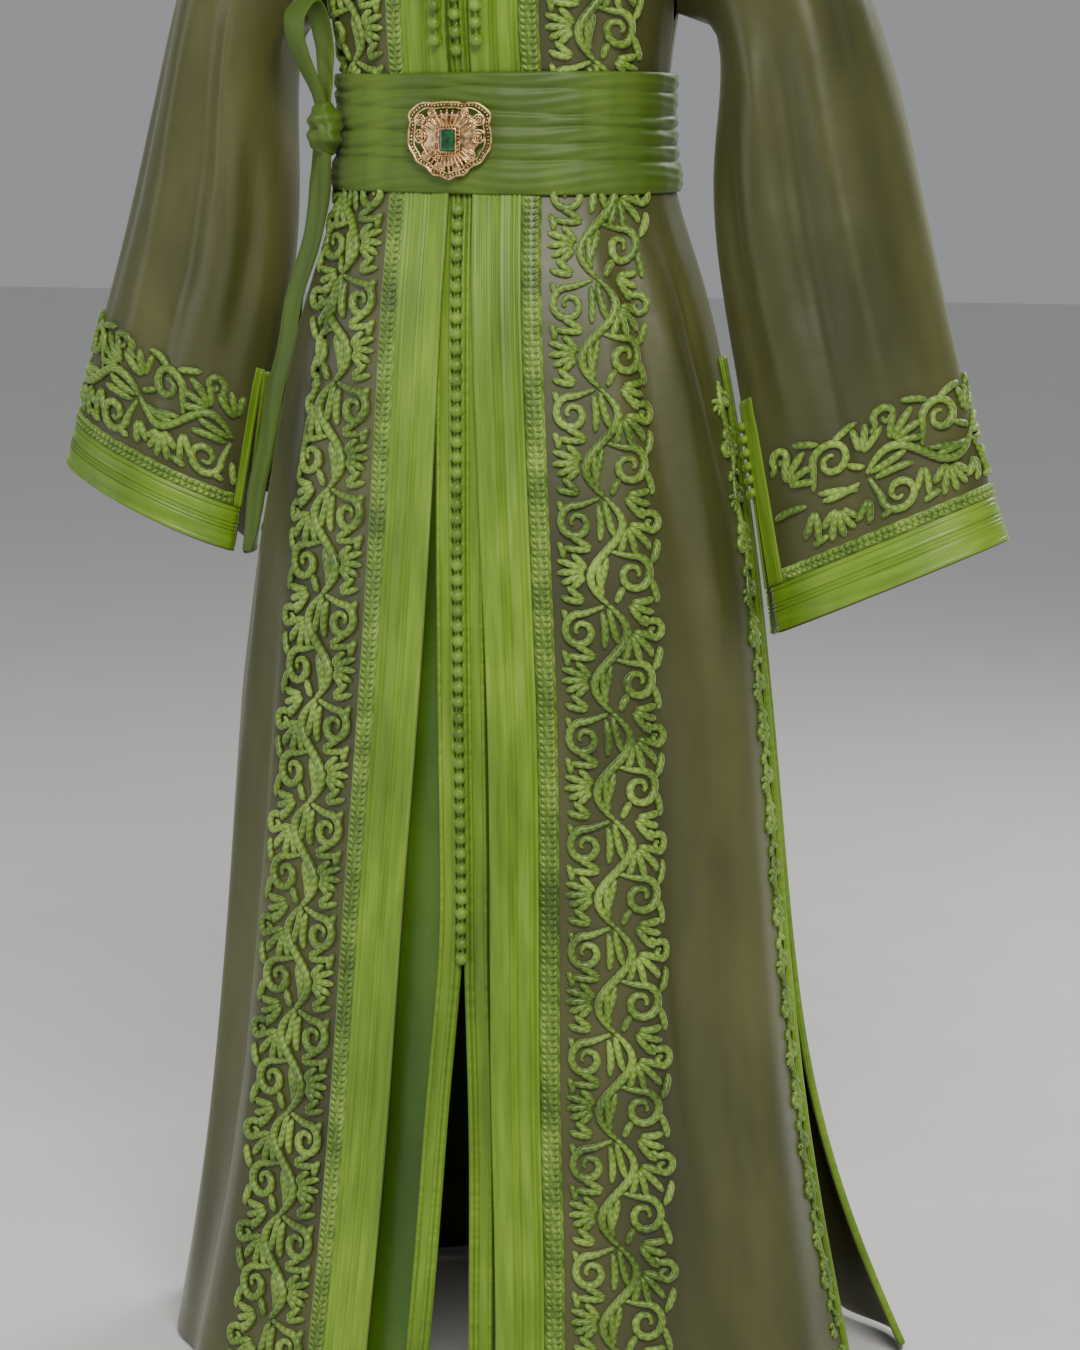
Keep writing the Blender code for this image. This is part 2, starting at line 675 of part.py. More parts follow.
def under_front(side):
    """Grid of one front of the under-dress; its first cells carry the band."""
    points = []
    normals = []
    for height in UNDER_HEIGHTS:
        half_width = under_point(90.0, height)[0]
        start = math.degrees(math.asin(under_edge(height, side) * side / half_width))
        band_x = under_edge(height, side) * side + UNDER_BAND_WIDTH
        band_angle = math.degrees(math.asin(band_x / half_width))
        end = side_angle(height) - math.degrees(SEAM_GAP / 2 / 0.13)
        rest = np.linspace(band_angle, end, UNDER_FRONT_CELLS)
        angles = np.concatenate(([start], rest))
        points.append([under_point(side * angle, height) for angle in angles])
        normals.append([under_normal(side * angle, height) for angle in angles])
    for share in YOKE_SHARES:
        half_width = column(YOKE_ROWS, share, 2)
        edge = np.interp(share, (0.2, 0.4, 1.0), (SEAM_GAP, 0.010, NECK_HALF_WIDTH + 0.002))
        if share < 0.3:
            edge = button_line(UNDERARM_HEIGHT) * side + SEAM_GAP / 2
        start = math.degrees(math.asin(edge / half_width))
        end = column(YOKE_ROWS, share, 3) * UNDER_ARMHOLE
        band_angle = math.degrees(math.asin((edge + UNDER_BAND_WIDTH) / half_width))
        band_share = (band_angle - start) / (end - start)
        shares = np.concatenate(([0.0], np.linspace(band_share, 1.0, UNDER_FRONT_CELLS)))
        row = yoke_row(share, start, end, shares, side, False, UNDER_YOKE_INSET)
        points.append(row[0])
        normals.append(row[1])
    return ClothGrid(points, normals)


def under_back():
    """Grid of the back of the under-dress."""
    points = []
    normals = []
    for height in UNDER_HEIGHTS:
        start = side_angle(height) + math.degrees(SEAM_GAP / 2 / 0.13)
        angles = back_angles(start, UNDER_BACK_SHARES)
        points.append([under_point(angle, height) for angle in angles])
        normals.append([under_normal(angle, height) for angle in angles])
    for share in YOKE_SHARES:
        end = column(YOKE_ROWS, share, 3) * UNDER_ARMHOLE
        left = yoke_row(share, 0.0, end, UNDER_BACK_SHARES[::-1], 1.0, True, UNDER_YOKE_INSET)
        right = yoke_row(share, 0.0, end, UNDER_BACK_SHARES, -1.0, True, UNDER_YOKE_INSET)
        points.append(left[0] + right[0][1:])
        normals.append(left[1] + right[1][1:])
    return ClothGrid(points, normals)


def dress_under_front(side, name):
    """One front of the under-dress with its band."""
    grid = under_front(side)
    cloth_wall(f"under_front_{name}", grid, "under_satin", 0.0, -UNDER_WALL)
    band = grid.lay([[(row, col) for col in (0.0, 1.0)] for row in range(grid.rows())])
    cloth_wall(f"under_band_{name}", band, "band_silk", SEAM_GAP, SEAM_GAP + TRIM_WALL)


BEAD_PROFILE = ((0.0, BEAD_NECK_RADIUS), (0.5, BEAD_RADIUS))


def button_column(name, bottom, count, pitch, centre_at):
    """A column of knotted buttons as one closed body; centre_at(height) gives its middle."""
    mesh = bmesh.new()
    rings = []
    stations = [(bead + share, radius) for bead in range(count) for share, radius in BEAD_PROFILE]
    stations.append((count, BEAD_NECK_RADIUS))
    for place, radius in stations:
        centre = centre_at(bottom + place * pitch)
        ring = []
        for side in range(BEAD_SIDES):
            turn = 2 * math.pi * side / BEAD_SIDES
            around = (radius * math.cos(turn), radius * math.sin(turn), 0.0)
            ring.append(mesh.verts.new(centre + np.array(around)))
        rings.append(ring)
    for low, high in zip(rings, rings[1:]):
        for side in range(BEAD_SIDES):
            after = (side + 1) % BEAD_SIDES
            mesh.faces.new((low[side], low[after], high[after], high[side]))
    mesh.faces.new(rings[0][::-1])
    mesh.faces.new(rings[-1])
    return finish_solid(name, mesh, "band_silk")


UNDER_BUTTON_OUT = SEAM_GAP + TRIM_WALL + SEAM_GAP + BEAD_RADIUS
ROBE_BUTTON_OUT = TRIM_WALL + SEAM_GAP + BEAD_RADIUS - 0.0004
MAIN_BUTTONS = 50
TOP_BUTTON_PITCH = 0.0148
TOP_BUTTONS_START = BELT_TOP + 0.006
TOP_BUTTONS = 6
SIDE_BUTTONS = 7
# Column of the fronts' grids on which the buttons beside the opening stand
SIDE_BUTTON_COLUMN = 0.36


def edge_button_centre(grid, col, reach):
    """Returns the function that gives the middle of a button on a front, at a height."""
    heights = [grid.at(row, col)[0][2] for row in range(grid.rows() + 1)]

    def centre(height):
        row = float(np.interp(height, heights, np.arange(len(heights))))
        point, normal = grid.at(row, col)
        return point + normal * reach

    return centre


def under_button_centre(height):
    """Middle of a button on the under-dress's bands."""
    x = button_line(height)
    half_width = under_point(90.0, height)[0]
    angle = math.degrees(math.asin(x / half_width))
    return under_point(angle, height) + np.array([0.0, -UNDER_BUTTON_OUT, 0.0])


def fasten():
    """The button columns: one down the under-dress, and three above the sash."""
    pitch = (BELT_BOTTOM - 0.008 - FRONT_SLIT_TOP) / MAIN_BUTTONS
    button_column("button_column_centre", FRONT_SLIT_TOP, MAIN_BUTTONS, pitch, under_button_centre)
    middle = edge_button_centre(under_front(1.0), 0.0, UNDER_BUTTON_OUT)
    button_column("button_column_top", TOP_BUTTONS_START, TOP_BUTTONS, TOP_BUTTON_PITCH, middle)
    for side, name in ((1.0, "left"), (-1.0, "right")):
        beside = edge_button_centre(robe_front(side), SIDE_BUTTON_COLUMN, ROBE_BUTTON_OUT)
        button_column(f"button_column_{name}", TOP_BUTTONS_START + TOP_BUTTON_PITCH / 2, SIDE_BUTTONS,
                      TOP_BUTTON_PITCH, beside)


BELT_CELLS = 28
BELT_BRIDGE = 0.0055
# Pleats of the sash: share of its height and outward move of the cloth there
BELT_PLEATS = np.array([
    (0.00, 0.0000),
    (0.12, 0.0022),
    (0.28, 0.0004),
    (0.42, 0.0026),
    (0.52, 0.0006),
    (0.66, 0.0030),
    (0.80, 0.0008),
    (0.92, 0.0024),
    (1.00, 0.0002),
])


def belt_point(angle, height, out=0.0):
    """A point of the sash's inner face, which stands off the narrowest part of the waist."""
    share = (height - BELT_BOTTOM) / (BELT_TOP - BELT_BOTTOM)
    bridge = BELT_BRIDGE * max(0.0, 1.0 - abs(2.0 * share - 1.0))
    return body_point(angle, height, BELT_CLEARANCE + bridge + out)


def belt_depth(angle, height):
    """How far the sash's outer face reaches from the middle at this place."""
    share = (height - BELT_BOTTOM) / (BELT_TOP - BELT_BOTTOM)
    pleat = np.interp(share, BELT_PLEATS[:, 0], BELT_PLEATS[:, 1])
    return float(np.linalg.norm(belt_point(angle, height, BELT_WALL + pleat)[:2]))


def wrap_belt():
    """The pleated sash round the waist."""
    points = []
    normals = []
    for share in BELT_PLEATS[:, 0]:
        height = BELT_BOTTOM + (BELT_TOP - BELT_BOTTOM) * share
        angles = np.linspace(-180.0, 180.0, BELT_CELLS + 1)
        points.append([belt_point(angle, height) for angle in angles])
        normals.append([ring_normal(angle, height) for angle in angles])
    grid = ClothGrid(points, normals)
    cloth_wall("belt_wrap", grid, "sash_silk", 0.0, BELT_WALL, relief=lambda r, c: BELT_PLEATS[r, 1])


KNOT_ANGLE = -62.0
KNOT_HEIGHT = 1.122
KNOT_SIZE = (0.015, 0.012, 0.020)
KNOT_OUT = BELT_WALL + 0.0026 + SEAM_GAP + KNOT_SIZE[1]


def local_frame(angle, height):
    """Unit vectors along the waist, outwards and up at one place of the body."""
    outward = ring_normal(angle, height)
    along = unit(np.cross(outward, np.array([0.0, 0.0, 1.0])))
    return along, outward, np.array([0.0, 0.0, 1.0])


def tie_knot():
    """The knot of the bow, a rounded lump with two folds pressed into it."""
    along, outward, up = local_frame(KNOT_ANGLE, KNOT_HEIGHT)
    centre = belt_point(KNOT_ANGLE, KNOT_HEIGHT, KNOT_OUT)
    mesh = bmesh.new()
    bmesh.ops.create_uvsphere(mesh, u_segments=12, v_segments=8, radius=1.0)
    for vert in mesh.verts:
        x, y, z = vert.co
        pinch = 1.0 - 0.14 * math.cos(math.pi * 3 * z)
        place = centre + along * x * KNOT_SIZE[0] * pinch + outward * y * KNOT_SIZE[1] * pinch
        vert.co = Vector(place + up * z * KNOT_SIZE[2])
    return finish_solid("belt_knot", mesh, "sash_silk")


LOOP_WALL = 0.0018
LOOP_HALF_WIDTH = 0.014
# Outline of the bow's loop: outward and upward distance from the top of the knot
LOOP_OUTLINE = np.array([
    (0.002, 0.0004),
    (0.016, 0.022),
    (0.032, 0.046),
    (0.040, 0.068),
    (0.034, 0.086),
    (0.020, 0.094),
    (0.008, 0.086),
    (0.000, 0.066),
    (-0.003, 0.044),
    (-0.003, 0.022),
    (-0.002, 0.0004),
])


def tie_loop():
    """The hollow loop of the bow, standing up from the knot."""
    along, outward, up = local_frame(KNOT_ANGLE, KNOT_HEIGHT)
    base = belt_point(KNOT_ANGLE, KNOT_HEIGHT, KNOT_OUT) + up * (KNOT_SIZE[2] + SEAM_GAP)
    points = []
    normals = []
    for share in (-1.0, 0.0, 1.0):
        line = []
        away = []
        for index, (out, rise) in enumerate(LOOP_OUTLINE):
            narrow = 0.45 + 0.55 * math.sin(math.pi * index / (len(LOOP_OUTLINE) - 1))
            before = LOOP_OUTLINE[max(index - 1, 0)]
            after = LOOP_OUTLINE[min(index + 1, len(LOOP_OUTLINE) - 1)]
            slope = unit(after - before)
            normal = outward * slope[1] - up * slope[0]
            line.append(base + outward * out + up * rise + along * share * LOOP_HALF_WIDTH * narrow)
            away.append(normal)
        points.append(line)
        normals.append(away)
    cloth_wall("belt_loop", ClothGrid(points, normals), "sash_silk", 0.0, -LOOP_WALL)


TAIL_WALL = 0.0030
# Tails of the sash: height, middle angle, half width in degrees, outward place of the cloth
FRONT_TAIL = np.array([
    (0.740, -77.0, 3.2, 0.0060),
    (0.790, -76.0, 4.4, 0.0065),
    (0.850, -74.0, 4.6, 0.0065),
    (0.910, -72.0, 4.8, 0.0070),
    (0.970, -70.0, 5.0, 0.0080),
    (1.030, -67.0, 5.2, 0.0095),
    (1.060, -65.0, 5.0, 0.0125),
    (1.085, -62.6, 4.4, 0.0185),
    (1.1014, -62.0, 3.4, 0.0215),
])
BACK_TAIL = np.array([
    (0.790, -89.0, 4.0, 0.0060),
    (0.850, -87.5, 4.8, 0.0065),
    (0.910, -85.5, 5.0, 0.0070),
    (0.970, -83.5, 5.2, 0.0080),
    (1.030, -80.0, 5.4, 0.0095),
    (1.060, -75.0, 4.8, 0.0125),
    (1.085, -71.2, 4.0, 0.0185),
    (1.1000, -68.75, 3.2, 0.0215),
])


def hang_tail(name, table):
    """One folded tail of the sash, crowned across its width, lying on the skirt."""
    points = []
    normals = []
    for height, middle, half, out in table:
        angles = [middle - half, middle - half * 0.45, middle, middle + half * 0.45, middle + half]
        crown = (0.0, 0.0040, 0.0060, 0.0040, 0.0)
        points.append([body_point(angle, height, out + rise) for angle, rise in zip(angles, crown)])
        normals.append([ring_normal(angle, height) for angle in angles])
    cloth_wall(name, ClothGrid(points, normals), "sash_silk", 0.0, TAIL_WALL)


BROOCH_HEIGHT = 1.113
BROOCH_X = -0.0105
BROOCH_HALF_WIDTH = 0.0375
BROOCH_HALF_HEIGHT = 0.0325
BROOCH_WALL = 0.0028
BROOCH_GAP = 0.0002
BROOCH_SIDES = 24
STONE_SIZE = (0.0125, 0.0180, 0.0050)
STONE_TABLE = 0.72


# Outline of the plaque: degrees from its top, and reach as a share of its half sizes
BROOCH_OUTLINE = np.array([
    (0.0, 1.00),
    (38.0, 1.19),
    (55.0, 1.20),
    (90.0, 1.00),
    (128.0, 0.88),
    (168.0, 0.96),
    (180.0, 1.00),
])


def brooch_edge(turn):
    """Reach of the plaque's outline: a shield with cut upper corners, pointed below."""
    from_top = abs(math.remainder(math.degrees(turn) - 90.0, 360.0))
    return float(np.interp(from_top, BROOCH_OUTLINE[:, 0], BROOCH_OUTLINE[:, 1]))


def set_brooch():
    """The domed plaque of the sash's clasp, curved with the sash, and its stone."""
    middle_angle = edge_angle(BROOCH_X, BROOCH_HEIGHT)
    reach = column(BODY_SECTIONS, BROOCH_HEIGHT, 1)
    heights = np.linspace(BROOCH_HEIGHT - BROOCH_HALF_HEIGHT, BROOCH_HEIGHT + BROOCH_HALF_HEIGHT, 30)
    outermost = max(belt_depth(middle_angle, height) for height in heights)
    brooch_out = outermost - float(np.linalg.norm(belt_point(middle_angle, BROOCH_HEIGHT)[:2])) + BROOCH_GAP
    points = []
    normals = []
    rise = (0.0, 0.0016, 0.0026, 0.0026)
    shares = (1.0, 0.80, 0.50, 0.0)
    for share, dome in zip(shares, rise):
        line = []
        away = []
        for step in range(BROOCH_SIDES + 1):
            turn = 2 * math.pi * step / BROOCH_SIDES
            edge = brooch_edge(turn) * share
            x = BROOCH_X + BROOCH_HALF_WIDTH * edge * math.cos(turn)
            height = BROOCH_HEIGHT + BROOCH_HALF_HEIGHT * edge * math.sin(turn)
            angle = math.degrees(math.asin(x / reach))
            flat = belt_point(angle, BROOCH_HEIGHT, brooch_out + dome)
            line.append(np.array([flat[0], flat[1], height]))
            away.append(ring_normal(angle, BROOCH_HEIGHT))
        points.append(line)
        normals.append(away)
    cloth_wall("brooch_plate", ClothGrid(points, normals), "gold", 0.0, BROOCH_WALL)
    along, outward, up = local_frame(middle_angle, BROOCH_HEIGHT)
    mesh = bmesh.new()
    bmesh.ops.create_cube(mesh, size=1.0)
    width, tall, deep = STONE_SIZE
    seat = belt_point(middle_angle, BROOCH_HEIGHT, brooch_out + rise[-1] + BROOCH_WALL + SEAM_GAP + deep / 2)
    for vert in mesh.verts:
        x, y, z = vert.co
        share = STONE_TABLE if y > 0 else 1.0
        vert.co = Vector(seat + along * x * width * share + outward * y * deep + up * z * tall * share)
    finish_solid("brooch_stone", mesh, "green_glass")


def build():
    """Makes every piece of the kaftan."""
    for item in list(bpy.data.objects):
        bpy.data.objects.remove(item)
    for side, name, sections in ((1.0, "left", LEFT_SLEEVE), (-1.0, "right", RIGHT_SLEEVE)):
        dress_front(side, name)
        dress_sleeve(side, name, sections)
        dress_under_front(side, name)
    dress_back()
    cloth_wall("under_back", under_back(), "under_satin", 0.0, -UNDER_WALL)
    fasten()
    wrap_belt()
    tie_knot()
    tie_loop()
    hang_tail("belt_tail_front", FRONT_TAIL)
    hang_tail("belt_tail_back", BACK_TAIL)
    set_brooch()


build()
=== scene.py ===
import logging
import math
from dataclasses import dataclass, field
from enum import Enum
from typing import Callable, Optional, Sequence

import bmesh
import bpy
import numpy as np
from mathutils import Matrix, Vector
from mathutils.bvhtree import BVHTree


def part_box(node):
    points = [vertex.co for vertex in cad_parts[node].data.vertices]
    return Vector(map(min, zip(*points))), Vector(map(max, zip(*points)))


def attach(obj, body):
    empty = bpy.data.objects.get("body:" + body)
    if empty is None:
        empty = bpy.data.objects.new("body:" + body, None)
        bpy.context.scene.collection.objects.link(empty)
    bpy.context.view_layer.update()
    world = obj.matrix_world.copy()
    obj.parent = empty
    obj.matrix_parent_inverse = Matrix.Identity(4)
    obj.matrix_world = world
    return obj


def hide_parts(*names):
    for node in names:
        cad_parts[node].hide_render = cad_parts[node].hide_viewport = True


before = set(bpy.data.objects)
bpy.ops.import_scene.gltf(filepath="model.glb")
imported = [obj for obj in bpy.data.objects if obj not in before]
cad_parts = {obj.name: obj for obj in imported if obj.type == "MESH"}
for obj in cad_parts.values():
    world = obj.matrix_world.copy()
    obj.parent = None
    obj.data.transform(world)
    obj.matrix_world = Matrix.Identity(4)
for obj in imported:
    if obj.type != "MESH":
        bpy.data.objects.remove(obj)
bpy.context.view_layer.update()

logging.basicConfig(level=logging.INFO, format="%(levelname)s %(message)s")
log = logging.getLogger("kaftan")

SHOULDER_HEIGHT = 1.54
ROOT_BODY = "root"

Point = np.ndarray
Colour = tuple[float, float, float]


class Side(Enum):
    """The wearer's sides, with the sign of x on each."""

    LEFT = 1
    RIGHT = -1

    @property
    def label(self) -> str:
        """Returns the word used in the names of the frame's nodes."""
        return self.name.lower()


def linear(red: int, green: int, blue: int) -> Colour:
    """Turns a display colour into the linear values that shaders use.

    Args:
        red: Red from 0 to 255.
        green: Green from 0 to 255.
        blue: Blue from 0 to 255.

    Returns:
        The three linear values.
    """
    def one(value: int) -> float:
        """Returns one linear value."""
        share = value / 255
        return share / 12.92 if share <= 0.04045 else ((share + 0.055) / 1.055) ** 2.4

    return one(red), one(green), one(blue)


# Finishes


class NodeGraph:
    """A material's node tree, built link by link."""

    def __init__(self, name: str) -> None:
        """Starts an empty tree with a Principled shader.

        Args:
            name: Name of the material.
        """
        self.material = bpy.data.materials.new(name)
        self.material.use_nodes = True
        self.tree = self.material.node_tree
        self.tree.nodes.clear()
        self.output = self.tree.nodes.new("ShaderNodeOutputMaterial")
        self.shader = self.tree.nodes.new("ShaderNodeBsdfPrincipled")
        self.tree.links.new(self.shader.outputs["BSDF"], self.output.inputs["Surface"])

    def add(self, kind: str, **settings: object) -> bpy.types.Node:
        """Adds one node.

        Args:
            kind: Type of the node.
            settings: Its properties.

        Returns:
            The new node.
        """
        node = self.tree.nodes.new(kind)
        for key, value in settings.items():
            setattr(node, key, value)
        return node

    def link(self, source: bpy.types.NodeSocket, target: bpy.types.NodeSocket) -> None:
        """Joins an output to an input.

        Args:
            source: The output.
            target: The input.
        """
        self.tree.links.new(source, target)

    def coordinates(self, kind: str, scale: Sequence[float]) -> bpy.types.NodeSocket:
        """Gives scaled coordinates.

        Args:
            kind: Object or UV.
            scale: Scale on each axis.

        Returns:
            The mapped vector.
        """
        source = self.add("ShaderNodeTexCoord")
        mapping = self.add("ShaderNodeMapping")
        mapping.inputs["Scale"].default_value = scale
        self.link(source.outputs[kind], mapping.inputs["Vector"])
        return mapping.outputs["Vector"]

    def noise(self, vector: bpy.types.NodeSocket, scale: float, detail: float = 3.0) -> bpy.types.NodeSocket:
        """Adds a noise pattern.

        Args:
            vector: Where it is read.
            scale: Its scale.
            detail: Its octaves.

        Returns:
            Its value, around 0.5.
        """
        node = self.add("ShaderNodeTexNoise")
        node.inputs["Scale"].default_value = scale
        node.inputs["Detail"].default_value = detail
        self.link(vector, node.inputs["Vector"])
        return node.outputs["Fac"]

    def wave(self, vector: bpy.types.NodeSocket, scale: float, direction: str = "X",
             distortion: float = 0.0) -> bpy.types.NodeSocket:
        """Adds parallel bands.

        Args:
            vector: Where they are read.
            scale: Their scale.
            direction: Axis across the bands, or DIAGONAL.
            distortion: How far noise bends them.

        Returns:
            Their value from 0 to 1.
        """
        node = self.add("ShaderNodeTexWave", wave_type="BANDS", bands_direction=direction)
        node.inputs["Scale"].default_value = scale
        node.inputs["Distortion"].default_value = distortion
        node.inputs["Detail"].default_value = 1.0
        self.link(vector, node.inputs["Vector"])
        return node.outputs["Fac"]

    def ramp(self, value: bpy.types.NodeSocket,
             stops: Sequence[tuple[float, Colour]]) -> bpy.types.NodeSocket:
        """Turns a value into a colour.

        Args:
            value: The value.
            stops: Places and colours of the ramp.

        Returns:
            The colour.
        """
        node = self.add("ShaderNodeValToRGB")
        elements = node.color_ramp.elements
        while len(elements) < len(stops):
            elements.new(0.5)
        for element, (place, colour) in zip(elements, stops):
            element.position = place
            element.color = (*colour, 1.0)
        self.link(value, node.inputs["Fac"])
        return node.outputs["Color"]

    def spread(self, value: bpy.types.NodeSocket, low: float, high: float,
               start: float = 0.3, end: float = 0.7) -> bpy.types.NodeSocket:
        """Maps a value to a range.

        Args:
            value: The value.
            low: Result at the start.
            high: Result at the end.
            start: Value that gives the low result.
            end: Value that gives the high result.

        Returns:
            The mapped value.
        """
        node = self.add("ShaderNodeMapRange")
        node.inputs["From Min"].default_value = start
        node.inputs["From Max"].default_value = end
        node.inputs["To Min"].default_value = low
        node.inputs["To Max"].default_value = high
        self.link(value, node.inputs["Value"])
        return node.outputs["Result"]

    def bump(self, height: bpy.types.NodeSocket, strength: float, distance: float,
             below: Optional[bpy.types.NodeSocket] = None) -> bpy.types.NodeSocket:
        """Adds a bump, on top of an earlier one if given.

        Args:
            height: Its height pattern.
            strength: Its strength.
            distance: Its depth in metres.
            below: Normal of the earlier bump.

        Returns:
            The normal.
        """
        node = self.add("ShaderNodeBump")
        node.inputs["Strength"].default_value = strength
        node.inputs["Distance"].default_value = distance
        self.link(height, node.inputs["Height"])
        if below is not None:
            self.link(below, node.inputs["Normal"])
        return node.outputs["Normal"]

    def finish(self, colour: bpy.types.NodeSocket, roughness: bpy.types.NodeSocket,
               normal: bpy.types.NodeSocket, **constants: object) -> bpy.types.Material:
        """Fills the shader's sockets.

        Args:
            colour: Its colour.
            roughness: Its roughness.
            normal: Its normal.
            constants: Values of its other sockets, with spaces written as underscores.

        Returns:
            The material.
        """
        self.link(colour, self.shader.inputs["Base Color"])
        self.link(roughness, self.shader.inputs["Roughness"])
        self.link(normal, self.shader.inputs["Normal"])
        for key, value in constants.items():
            self.shader.inputs[key.replace("_", " ")].default_value = value
        return self.material


@dataclass(frozen=True)
class SatinFinish:
    """Smooth satin with soft clouding, fine threads and slight puckers."""

    name: str
    shade: Colour
    base: Colour
    lit: Colour
    roughness: tuple[float, float] = (0.34, 0.48)
    sheen: float = 0.35
    sheen_tint: Colour = (0.75, 0.8, 0.55)
    pucker: float = 0.25

    def make(self) -> bpy.types.Material:
        """Returns the material."""
        graph = NodeGraph(self.name)
        plain = graph.coordinates("Object", (1.0, 1.0, 1.0))
        clouds = graph.noise(graph.coordinates("Object", (9.0, 9.0, 3.0)), 1.0, 4.0)
        threads = graph.noise(graph.coordinates("Object", (1500.0, 1500.0, 60.0)), 1.0, 1.0)
        slubs = graph.noise(graph.coordinates("Object", (60.0, 60.0, 900.0)), 1.0, 2.0)
        tone = graph.add("ShaderNodeMix", data_type="FLOAT")
        tone.inputs["Factor"].default_value = 0.08
        graph.link(clouds, tone.inputs["A"])
        graph.link(slubs, tone.inputs["B"])
        colour = graph.ramp(tone.outputs["Result"], [(0.30, self.shade), (0.52, self.base), (0.72, self.lit)])
        roughness = graph.spread(clouds, self.roughness[0], self.roughness[1])
        puckers = graph.noise(plain, 42.0, 2.0)
        normal = graph.bump(puckers, self.pucker, 0.0016)
        normal = graph.bump(threads, 0.12, 0.0002, normal)
        return graph.finish(colour, roughness, normal, Sheen_Weight=self.sheen, Sheen_Roughness=0.4,
                            Sheen_Tint=(*self.sheen_tint, 1.0), Specular_IOR_Level=0.5)


@dataclass(frozen=True)
class CordFinish:
    """Twisted rayon cord, whose threads run across its length in its UV map."""

    name: str
    shade: Colour
    base: Colour
    lit: Colour
    turns: float = 520.0

    def make(self) -> bpy.types.Material:
        """Returns the material."""
        graph = NodeGraph(self.name)
        along = graph.coordinates("UV", (1.0, 1.0, 1.0))
        wound = graph.coordinates("UV", (self.turns / 100, self.turns / 240, 1.0))
        twist = graph.wave(wound, 18.0, "DIAGONAL", 0.6)
        clouds = graph.noise(graph.coordinates("Object", (26.0, 26.0, 26.0)), 1.0, 3.0)
        fibres = graph.noise(along, 900.0, 2.0)
        tone = graph.add("ShaderNodeMix", data_type="FLOAT")
        tone.inputs["Factor"].default_value = 0.18
        graph.link(clouds, tone.inputs["A"])
        graph.link(twist, tone.inputs["B"])
        colour = graph.ramp(tone.outputs["Result"], [(0.28, self.shade), (0.5, self.base), (0.74, self.lit)])
        roughness = graph.spread(clouds, 0.36, 0.5)
        normal = graph.bump(twist, 0.25, 0.0002)
        normal = graph.bump(fibres, 0.2, 0.0002, normal)
        return graph.finish(colour, roughness, normal, Sheen_Weight=0.4, Sheen_Roughness=0.35,
                            Sheen_Tint=(0.85, 1.0, 0.6, 1.0))


@dataclass(frozen=True)
class SilkFinish:
    """Bright silk with fine ribs that run with the band, in its UV map."""

    name: str
    shade: Colour
    base: Colour
    lit: Colour
    ribs: float = 900.0

    def make(self) -> bpy.types.Material:
        """Returns the material."""
        graph = NodeGraph(self.name)
        ribs = graph.wave(graph.coordinates("UV", (self.ribs / 6.28, 1.0, 1.0)), 1.0, "X", 0.3)
        slubs = graph.noise(graph.coordinates("UV", (160.0, 12.0, 1.0)), 1.0, 3.0)
        clouds = graph.noise(graph.coordinates("Object", (16.0, 16.0, 6.0)), 1.0, 3.0)
        tone = graph.add("ShaderNodeMix", data_type="FLOAT")
        tone.inputs["Factor"].default_value = 0.4
        graph.link(clouds, tone.inputs["A"])
        graph.link(slubs, tone.inputs["B"])
        colour = graph.ramp(tone.outputs["Result"], [(0.3, self.shade), (0.5, self.base), (0.7, self.lit)])
        roughness = graph.spread(slubs, 0.34, 0.5)
        normal = graph.bump(ribs, 0.35, 0.0003)
        normal = graph.bump(slubs, 0.25, 0.0004, normal)
        return graph.finish(colour, roughness, normal, Sheen_Weight=0.35, Sheen_Roughness=0.35,
                            Sheen_Tint=(0.8, 1.0, 0.45, 1.0))


@dataclass(frozen=True)
class GoldFinish:
    """Pale gold, mottled at random with a darker painted shade colour."""

    name: str
    shade: Colour
    base: Colour

    def make(self) -> bpy.types.Material:
        """Returns the material."""
        graph = NodeGraph(self.name)
        plain = graph.coordinates("Object", (1.0, 1.0, 1.0))
        shade_mottle = graph.noise(plain, 260.0, 4.0)
        # Painted shade: random spots of the gold are darkened towards its shade colour; the same noise sets
        # the roughness.
        colour = graph.ramp(shade_mottle, [(0.32, self.shade), (0.6, self.base)])
        roughness = graph.spread(shade_mottle, 0.22, 0.42)
        normal = graph.bump(graph.noise(plain, 1400.0, 2.0), 0.25, 0.0003)
        return graph.finish(colour, roughness, normal, Metallic=1.0)


@dataclass(frozen=True)
class StoneFinish:
    """Polished green glass with faint veils inside."""

    name: str
    shade: Colour
    base: Colour

    def make(self) -> bpy.types.Material:
        """Returns the material."""
        graph = NodeGraph(self.name)
        plain = graph.coordinates("Object", (1.0, 1.0, 1.0))
        veils = graph.noise(plain, 190.0, 3.0)
        colour = graph.ramp(veils, [(0.3, self.shade), (0.7, self.base)])
        roughness = graph.spread(veils, 0.04, 0.1)
        normal = graph.bump(veils, 0.05, 0.0002)
        return graph.finish(colour, roughness, normal, Coat_Weight=1.0, Coat_Roughness=0.03, IOR=1.56)


@dataclass(frozen=True)
class FloorFinish:
    """The pale floor."""

    name: str
    tone: Colour

    def make(self) -> bpy.types.Material:
        """Returns the material."""
        graph = NodeGraph(self.name)
        grain = graph.noise(graph.coordinates("Object", (1.0, 1.0, 1.0)), 6.0, 2.0)
        darker = tuple(value * 0.97 for value in self.tone)
        colour = graph.ramp(grain, [(0.3, darker), (0.7, self.tone)])
        roughness = graph.spread(grain, 0.85, 0.95)
        normal = graph.bump(grain, 0.02, 0.001)
        return graph.finish(colour, roughness, normal)


@dataclass
class Wardrobe:
    """The kaftan's materials, each made once."""

    robe: bpy.types.Material
    under: bpy.types.Material
    sash: bpy.types.Material
    cord: bpy.types.Material
    silk: bpy.types.Material
    bead: bpy.types.Material
    gold: bpy.types.Material
    stone: bpy.types.Material
    floor: bpy.types.Material


